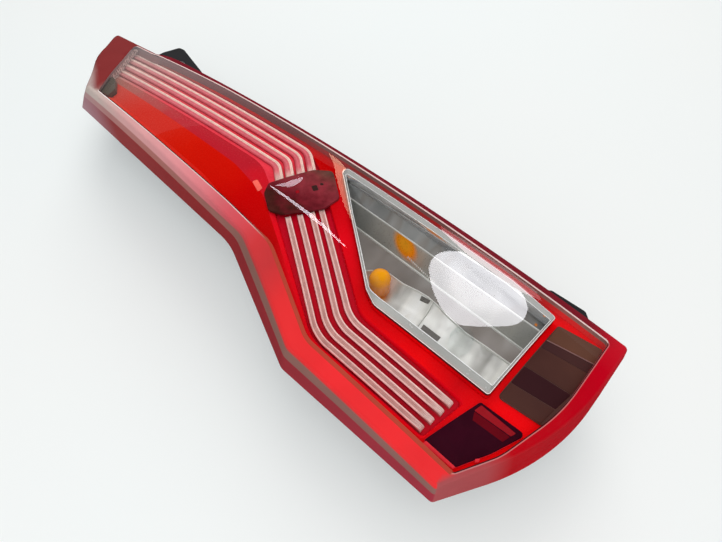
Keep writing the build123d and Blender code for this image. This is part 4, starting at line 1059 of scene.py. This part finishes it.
co = Mesh()
plate(co, corner, 9.1, 10.95, 0.5, 4.0, 3)
pad(co, [(-43.0, -271.7), (-62.4, -270.7), (-52.4, -310.2), (-34.6, -309.2)], 8.6, 9.2, 0)
pad(co, [(-62.6, -270.7), (-63.5, -270.65), (-53.5, -310.3), (-52.6, -310.25)], 8.5, 9.2, 5, 0.2, 0.1)
pad(co, [(-63.7, -270.6), (-72.0, -270.2), (-64.2, -309.8), (-53.7, -310.4)], 8.75, 9.2, 4)
pad(co, [(-72.2, -270.2), (-94.8, -269.0), (-89.4, -308.0), (-64.6, -309.8)], 8.7, 9.2, 2)
pad(co, [(-95.2, -269.0), (-113.4, -268.0), (-107.8, -304.6), (-90.0, -308.0)], 8.9, 9.2, 1)
pad(co, [(-113.8, -268.0), (-128.0, -267.3), (-124.4, -301.8), (-108.4, -304.4)], 8.6, 9.2, 2)
ob_corner = ride(co.make("corner_cover", [m_corner, m_corner_dark, m_corner_mid, m_corner_line, m_corner_low, m_corner_ridge], 20.0), "corner_smoke", "corner_cover")

# dark pad in the upper outer corner of the bezel, and the light pad beside the bridge
nt = Mesh()
pad(nt, [(-115.0, 240.6), (-90.2, 251.5), (-92.9, 241.0), (-103.3, 227.0), (-114.2, 224.8)], 5.0, 11.5, 0, 1.0, 0.4)
ob_notch = ride(nt.make("bezel_corner_pad", [m_olive], 40.0), "bezel_red")
sp = Mesh()
pad(sp, [(-105.9, 15.2), (-101.2, 13.1), (-105.6, 2.2), (-111.2, 2.2)], 10.5, 11.2, 0, 1.2, 0.3)
ob_spot = ride(sp.make("bezel_light_pad", [m_salmon], 40.0), "bezel_red")

# ---------------------------------------------------------------------------
# Signal window: bright frame and terraced reflector
# ---------------------------------------------------------------------------
fr = Mesh()
out_s, out_c = sample(inset(window, -0.9), step=3.0, arc_step=0.5)
top_s, _ = sample(inset(window, -0.7), out_c)
mid_s, _ = sample(inset(window, -0.25), out_c)
mid2_s, _ = sample(inset(window, -0.1), out_c)
inn_s, _ = sample(window_in, out_c)
inn2_s, _ = sample(inset(window_in, 0.5), out_c)
inn3_s, _ = sample(inset(window_in, 0.65), out_c)
frame_in = loop_inward(out_s)
LIP = 2.6
low_in = lerp(4.4, 3.6, step01(frame_in[:, 0], 0.6, 0.9) * step01(-out_s[:, 1], 135.0, 155.0))
half_s = lerp(mid2_s, inn_s, 0.5)


def sunk(loop, off):
    return np.column_stack([loop, zface(loop[:, 0], loop[:, 1]) - off])


fr.rings([sunk(out_s, 13.4), sunk(out_s, LIP + 3.0), sunk(out_s, LIP + 0.2), sunk(top_s, LIP), sunk(mid_s, LIP), sunk(mid2_s, LIP + 0.5), sunk(half_s, lerp(LIP + 0.5, low_in + 0.6, 0.5)), sunk(inn_s, low_in + 0.6),
          sunk(lerp(inn_s, inn2_s, 0.12), low_in), sunk(inn2_s, low_in), sunk(inn3_s, low_in + 0.4), sunk(inn3_s, 15.5)],
         [4, 1, 1, 2, 0, 3, 3, 2, 2, 0, 0])
ob_frame = ride(fr.make("window_bezel", [m_chrome, m_frame_side, m_line, m_flange, m_bezel], 25.0), "frame_bright", "window_bezel")

win_in_s, _ = sample(inset(window_in, 0.4), step=1.0, arc_step=0.8)


def span(loop, y):
    """Lowest and highest x of an outline at a y."""
    a, b = loop, np.roll(loop, -1, 0)
    hit = (a[:, 1] > y) != (b[:, 1] > y)
    xs = a[hit, 0] + (y - a[hit, 1]) * (b[hit, 0] - a[hit, 0]) / (b[hit, 1] - a[hit, 1])
    return xs.min(), xs.max()


C_Y = [-256.0, -233.6, -214.0, -194.0, -180.0, -168.5, -159.0, -143.9, -126.7, -112.0, -100.0]
C_X = [-87.0, -86.6, -86.9, -83.6, -80.5, -79.1, -79.7, -82.3, -82.0, -90.0, -108.0]
rib_z, shelf_z, bowl_z = 46.0, 26.0, 23.5


def ribs(y):
    """x of the upper rib, the lower rib and the bowl edge."""
    return -51.5 + (y + 57.5) * 0.0358, -62.8 + (y + 78.5) * 0.0442, float(np.interp(y, C_Y, C_X))


def bowl(x, y, xc, xl):
    s = (xc - x) / max(1.0, xc - xl)
    dip = 4 * s * (1 - s)
    z = bowl_z - 1.0 - (10.0 if y > -176 else 7.5) * dip
    if y < -178:
        z += 1.1 * math.sin((y + 178) / 26.0 * 2 * math.pi) * min(1.0, 3 * dip)
    return z


ys = np.arange(-45.4, -263.6, -1.4)
rows, tints = [], []
for y in ys:
    xl, xr = span(win_in_s, y)
    xa, xb, xc = ribs(y)
    zr = float(zface(xr, y, 15.0))
    prof = [(xr, zr), (xa + 0.7, rib_z), (xa + 0.4, rib_z + 0.5), (xa - 0.1, rib_z + 0.5), (xa - 0.6, rib_z - 0.3),
            *[(lerp(xa - 0.6, xb + 0.9, q / 10), lerp(rib_z - 0.3, shelf_z + 0.6, q / 10)) for q in range(1, 10)],
            (xb + 0.9, shelf_z + 0.6), (xb + 0.4, shelf_z + 1.0), (xb - 0.3, shelf_z + 1.0), (xb - 0.8, shelf_z - 0.2),
            (xc + 0.9, bowl_z), (xc + 0.4, bowl_z + 0.7), (xc - 0.3, bowl_z + 0.7), (xc - 0.8, bowl_z - 0.9)]
    pts = []
    for x, z in prof:
        if x <= xl:
            if pts[-1][0] > xl:
                x0, z0 = pts[-1]
                pts.append((xl, z0 + (z - z0) * (xl - x0) / (x - x0)))
            else:
                pts.append(pts[-1])
        else:
            pts.append((x, z))
    x0 = pts[-1][0]
    for k in range(1, 25):
        if x0 <= xl + 1e-6:
            pts.append(pts[-1])
        else:
            x = lerp(x0, xl, k / 24)
            pts.append((x, bowl(x, y, x0, xl)))
    pts.append((xl - 0.3, float(zface(xl, y, 15.0))))
    rows.append(np.array([(x, y, z) for x, z in pts]))
band = [0, 4, 4, 4] + [1] * 10 + [4, 4, 4, 2, 4, 4, 4] + [3] * 25
refl = Mesh()


def painted_bulb_reflection(r):
    """Painted amber reflection of the bulb in band 2, and a weaker one on the bowl round the bulb."""
    d = np.hypot((r[:, 1] + 125.6 - (r[:, 2] - 39.0) * 0.42) / 17.0, (r[:, 2] - 39.5) / 13.0)
    near_bulb = np.hypot((r[:, 0] + 99.0) / 17.0, (r[:, 1] + 131.0) / 15.0)
    return np.maximum(np.clip(1.15 - d, 0, 1), np.where(r[:, 2] < 27.0, np.clip(1.0 - near_bulb, 0, 1) * 0.75, 0.0))


starts = [refl.put(r, glow=painted_bulb_reflection(r)) for r in rows]
for j in range(len(rows) - 1):
    for i in range(len(rows[0]) - 1):
        refl.face([starts[j] + i, starts[j] + i + 1, starts[j + 1] + i + 1, starts[j + 1] + i], band[i])
for row, flip in ((rows[0], True), (rows[-1], False)):
    top = np.column_stack([row[:, :2], zface(row[:, 0], row[:, 1], 13.6)])
    refl.rings([row, top], 0, closed=False, flip=flip)


def surface_z(x, y):
    """Height of the reflector at a point."""
    j = int(np.abs(ys - y).argmin())
    r = rows[j]
    return float(np.interp(-x, -r[:, 0], r[:, 2]))


rnd = random.Random(11)


def facets(p0, p1, n, size):
    """Row of small even pyramids pressed into the reflector."""
    run_d = np.array(p1, float) - np.array(p0, float)
    run_d /= np.hypot(*run_d)
    side_d = np.array((-run_d[1], run_d[0]))
    for k in range(n):
        c = lerp(np.array(p0, float), np.array(p1, float), (k + 0.5) / n)
        s = size * rnd.uniform(0.85, 1.0)
        base = [c + run_d * s, c + side_d * s, c - run_d * s, c - side_d * s]
        s0 = refl.put([(q[0], q[1], surface_z(q[0], q[1]) - 0.15) for q in base])
        s1 = refl.put([(c[0], c[1], surface_z(c[0], c[1]) + 0.55 * s)])
        for q in range(4):
            refl.face([s0 + q, s0 + (q + 1) % 4, s1], 5)


facets((-61.5, -131.0), (-65.6, -166.0), 16, 1.0)
facets((-119.0, -147.0), (-120.0, -178.0), 14, 1.1)
facets((-106.0, -203.0), (-105.0, -222.0), 9, 1.0)


def block(corners, h, mat):
    """Small block that stands on the reflector."""
    area2 = sum(a[0] * b[1] - b[0] * a[1] for a, b in zip(corners, corners[1:] + corners[:1]))
    c = corners if area2 > 0 else corners[::-1]
    zt = max(surface_z(x, y) for x, y in c) + h
    low = np.array([(x, y, surface_z(x, y) - 0.3) for x, y in c])
    top = np.array([(x, y, surface_z(x, y) + h) for x, y in c])
    refl.rings([low, top], mat)
    s = refl.put(top)
    refl.face([s + k for k in range(len(c))], mat)


block([(-81.0, -163.0), (-84.2, -163.6), (-83.0, -172.0), (-80.2, -172.0)], 0.5, 6)
block([(-99.1, -179.6), (-105.4, -180.2), (-107.0, -198.4), (-100.5, -198.8)], 0.5, 6)
# partition between the two chambers
wall = []
for k in range(15):
    x = lerp(-80.5, -124.5, k / 14)
    wall.append((x, -175.0 - 3.4 * k / 14))
lo_a = np.array([(x, y + 0.5, surface_z(x, y) - 0.4) for x, y in wall])
hi_a = np.array([(x, y + 0.5, surface_z(x, y) + 2.6) for x, y in wall])
hi_b = np.array([(x, y - 0.5, surface_z(x, y) + 2.6) for x, y in wall])
lo_b = np.array([(x, y - 0.5, surface_z(x, y) - 0.4) for x, y in wall])
refl.rings([lo_a, hi_a, hi_b, lo_b], 4, closed=False, flip=True)
# Small amber block at the end of band 1: a painted amber reflection.
block([(-53.0, -255.6), (-56.2, -255.8), (-56.4, -258.0), (-53.2, -257.8)], 0.4, 7)
ob_refl = ride(refl.make("signal_reflector", [m_band1, m_band2, m_band3, m_bowl, m_rib, m_sparkle, m_patch, m_glint], 22.0), "reflector_bright", "signal_reflector")

# ---------------------------------------------------------------------------
# Stage: floor, soft light, camera
# ---------------------------------------------------------------------------
def floor_mat():
    n = Nodes("floor")
    broad = n.noise(1.2, 2.0)
    col = n.mix(n.remap(broad, 0.3, 0.7, 0.0, 1.0), (0.55, 0.575, 0.57), (0.575, 0.575, 0.56))
    fine = n.noise(900.0, 3.0)
    b = n.principled(col, n.remap(fine, 0.3, 0.7, 0.85, 0.95), 0.0, n.bump(fine, 0.05, 0.0001), spec=0.0)
    b.inputs["Emission Color"].default_value = (0.92, 0.96, 0.97, 1.0)
    b.inputs["Emission Strength"].default_value = 0.31
    return n.done(b)


fl = bpy.data.meshes.new("floor")
fl.from_pydata([(-4, -4, FLOOR_Z * MM), (4, -4, FLOOR_Z * MM), (4, 4, FLOOR_Z * MM), (-4, 4, FLOOR_Z * MM)], [], [(0, 1, 2, 3)])
fl.materials.append(floor_mat())
floor = bpy.data.objects.new("floor", fl)
scene.collection.objects.link(floor)

world = bpy.data.worlds.new("studio")
scene.world = world
world.use_nodes = True
wn = world.node_tree
wn.nodes.clear()
tc = wn.nodes.new("ShaderNodeTexCoord")
sx = wn.nodes.new("ShaderNodeSeparateXYZ")
rp = wn.nodes.new("ShaderNodeValToRGB")
e = rp.color_ramp.elements
for k, (p, c) in zip([e[0], e[1], e.new(0.22), e.new(0.5)], [(0.0, 0.95), (1.0, 0.22), (0.22, 0.85), (0.5, 0.25)]):
    k.position, k.color = p, (c, c, c * 1.02, 1.0)
bg = wn.nodes.new("ShaderNodeBackground")
bg.inputs["Strength"].default_value = 0.62
wo = wn.nodes.new("ShaderNodeOutputWorld")
wn.links.new(tc.outputs["Generated"], sx.inputs[0])
wn.links.new(sx.outputs["Z"], rp.inputs["Fac"])
wn.links.new(rp.outputs["Color"], bg.inputs["Color"])
wn.links.new(bg.outputs[0], wo.inputs["Surface"])


def area(name, pos, target, size, watts, color=(1, 1, 1), glossy=False):
    d = bpy.data.lights.new(name, "AREA")
    d.shape, d.size, d.energy, d.color = "DISK", size, watts, color
    ob = bpy.data.objects.new(name, d)
    scene.collection.objects.link(ob)
    ob.location = pos
    ob.rotation_euler = (Vector(target) - Vector(pos)).to_track_quat("-Z", "Y").to_euler()
    ob.visible_glossy = glossy
    return ob


area("key", (1.0, 0.6, 1.35), (-0.1, 0.0, 0.0), 1.3, 12.5, (1.0, 0.985, 0.96))
area("top", (-0.3, -0.2, 1.9), (-0.1, 0.0, 0.0), 2.8, 21.5, (0.97, 0.99, 1.0))
area("fill", (-1.2, -0.75, 0.60), (-0.2, 0.0, 0.0), 1.5, 7.5, (0.96, 0.99, 1.0))

lens_only = bpy.data.collections.new("lens_only")
for ob in (ob_lens, ob_clear):
    lens_only.objects.link(ob)
chrome_only = bpy.data.collections.new("chrome_only")
for ob in (ob_frame, ob_refl):
    chrome_only.objects.link(ob)



def mirror_card(name, outline, dist, color, strength, core=None):
    """Light card seen only in the lens face, where the outline (pixels of the picture) mirrors it."""
    n, fine = len(outline), []
    for i in range(n):
        a, b = np.array(outline[i], float), np.array(outline[(i + 1) % n], float)
        m = max(1, int(np.linalg.norm(b - a) / 3.0))
        fine += [a + (b - a) * k / m for k in range(m)]
    fine = np.array(fine)
    flat, tris = fill(fine, (), 5.0)
    pts = []
    for u, v in flat:
        d = FWD * 580.0 + RGT * (u - 361.0) - UPV * (v - 271.0)
        d /= np.linalg.norm(d)
        lo, hi = (110.0 - EYE[2]) / d[2], -EYE[2] / d[2]
        for _ in range(60):
            t = (lo + hi) / 2
            p = EYE + d * t
            if p[2] > float(zface(p[0], p[1])):
                lo = t
            else:
                hi = t
        p = EYE + d * lo
        nn = np.array(face_normal(p[0], p[1]))
        pts.append(p + (d - 2 * d.dot(nn) * nn) * dist)
    me = bpy.data.meshes.new(name)
    me.from_pydata([tuple(p * MM) for p in pts], [], [tuple(map(int, t)) for t in tris])
    nd = Nodes(name)
    em = nd.new("ShaderNodeEmission")
    em.inputs["Color"].default_value = (*color, 1.0)
    em.inputs["Strength"].default_value = strength
    if core:
        fade = me.attributes.new("fade", "FLOAT", "POINT")
        fade.data.foreach_set("value", near(fine, flat))
        nd.link(nd.remap(nd.attr("fade"), 8.0, 26.0, strength, core, True), em.inputs["Strength"])
    me.materials.append(nd.done(em))
    ob = bpy.data.objects.new(name, me)
    scene.collection.objects.link(ob)
    ob.light_linking.receiver_collection = lens_only
    ob.visible_camera = ob.visible_diffuse = ob.visible_shadow = ob.visible_transmission = ob.visible_volume_scatter = False


mirror_card("card_oval", [(428.6, 268.6), (431, 261), (435, 255.7), (441, 252.5), (449, 251), (461, 251.5), (475, 260.5), (492, 273), (513.6, 285.7), (521, 292), (525.5, 299),
                          (527.9, 308.6), (525.5, 316.5), (522, 321), (516.4, 324.3), (508, 326), (499, 326.4), (477.9, 326.6), (463.6, 325.7), (458, 324), (453.6, 321.4), (447, 315),
                          (440.7, 307), (435, 296), (431, 284)], 700.0, (0.96, 0.95, 1.0), 3.9, 5.0)
mirror_card("card_line", [(268.0, 184.0), (276.0, 188.5), (310.0, 212.5), (328.0, 228.0), (346.0, 246.5), (344.0, 246.5), (325.0, 229.5), (307.0, 214.8), (273.0, 188.5)], 700.0, (0.93, 0.90, 1.0), 13.0)
mirror_card("card_salmon", [(329.0, 153.0), (334.0, 165.0), (336.5, 178.0), (340.0, 192.0), (344.0, 205.0), (351.0, 219.0), (353.4, 221.0), (349.6, 205.0), (346.6, 190.0), (343.4, 172.5),
                            (345.6, 168.0), (341.0, 162.0)], 700.0, (1.0, 0.60, 0.42), 5.5)
mirror_card("card_strip", [(441.0, 226.0), (468.0, 242.5), (500.0, 264.0), (536.0, 291.0), (541.5, 301.0), (514.0, 288.5), (490.0, 270.5), (468.0, 255.0), (442.0, 231.0)], 700.0, (1.0, 0.80, 0.84), 2.4)
mirror_card("card_crescent", [(275.0, 185.5), (288.0, 181.5), (304.0, 176.5), (300.0, 182.5), (294.0, 186.0), (288.0, 187.0)], 700.0, (0.95, 0.88, 1.0), 8.5)

# soft ceiling that only the bright parts in the signal window mirror
ce = bpy.data.meshes.new("card_ceiling")
ce.from_pydata([(-1.3, -1.3, 0.95), (1.3, -1.3, 0.95), (1.3, 1.3, 0.95), (-1.3, 1.3, 0.95)], [], [(3, 2, 1, 0)])
nd = Nodes("card_ceiling")
em = nd.new("ShaderNodeEmission")
nd.link(nd.remap(nd.noise(2.2, 2.0), 0.35, 0.65, 0.25, 1.1), em.inputs["Strength"])
ce.materials.append(nd.done(em))
ceiling = bpy.data.objects.new("card_ceiling", ce)
scene.collection.objects.link(ceiling)
ceiling.light_linking.receiver_collection = chrome_only
ceiling.visible_camera = ceiling.visible_diffuse = ceiling.visible_shadow = ceiling.visible_transmission = ceiling.visible_volume_scatter = False

cam_d = bpy.data.cameras.new("camera")
cam = bpy.data.objects.new("camera", cam_d)
scene.collection.objects.link(cam)
scene.camera = cam
cam_d.sensor_fit = "HORIZONTAL"
cam_d.sensor_width = 36.0
cam_d.lens = 28.92
cam_d.clip_start = 0.01
cam.location = tuple(EYE * MM)
cam.rotation_euler = Matrix((Vector(RGT).normalized(), Vector(UPV).normalized(), -Vector(FWD).normalized())).transposed().to_euler()
scene.view_settings.view_transform = "Standard"

bpy.context.view_layer.update()
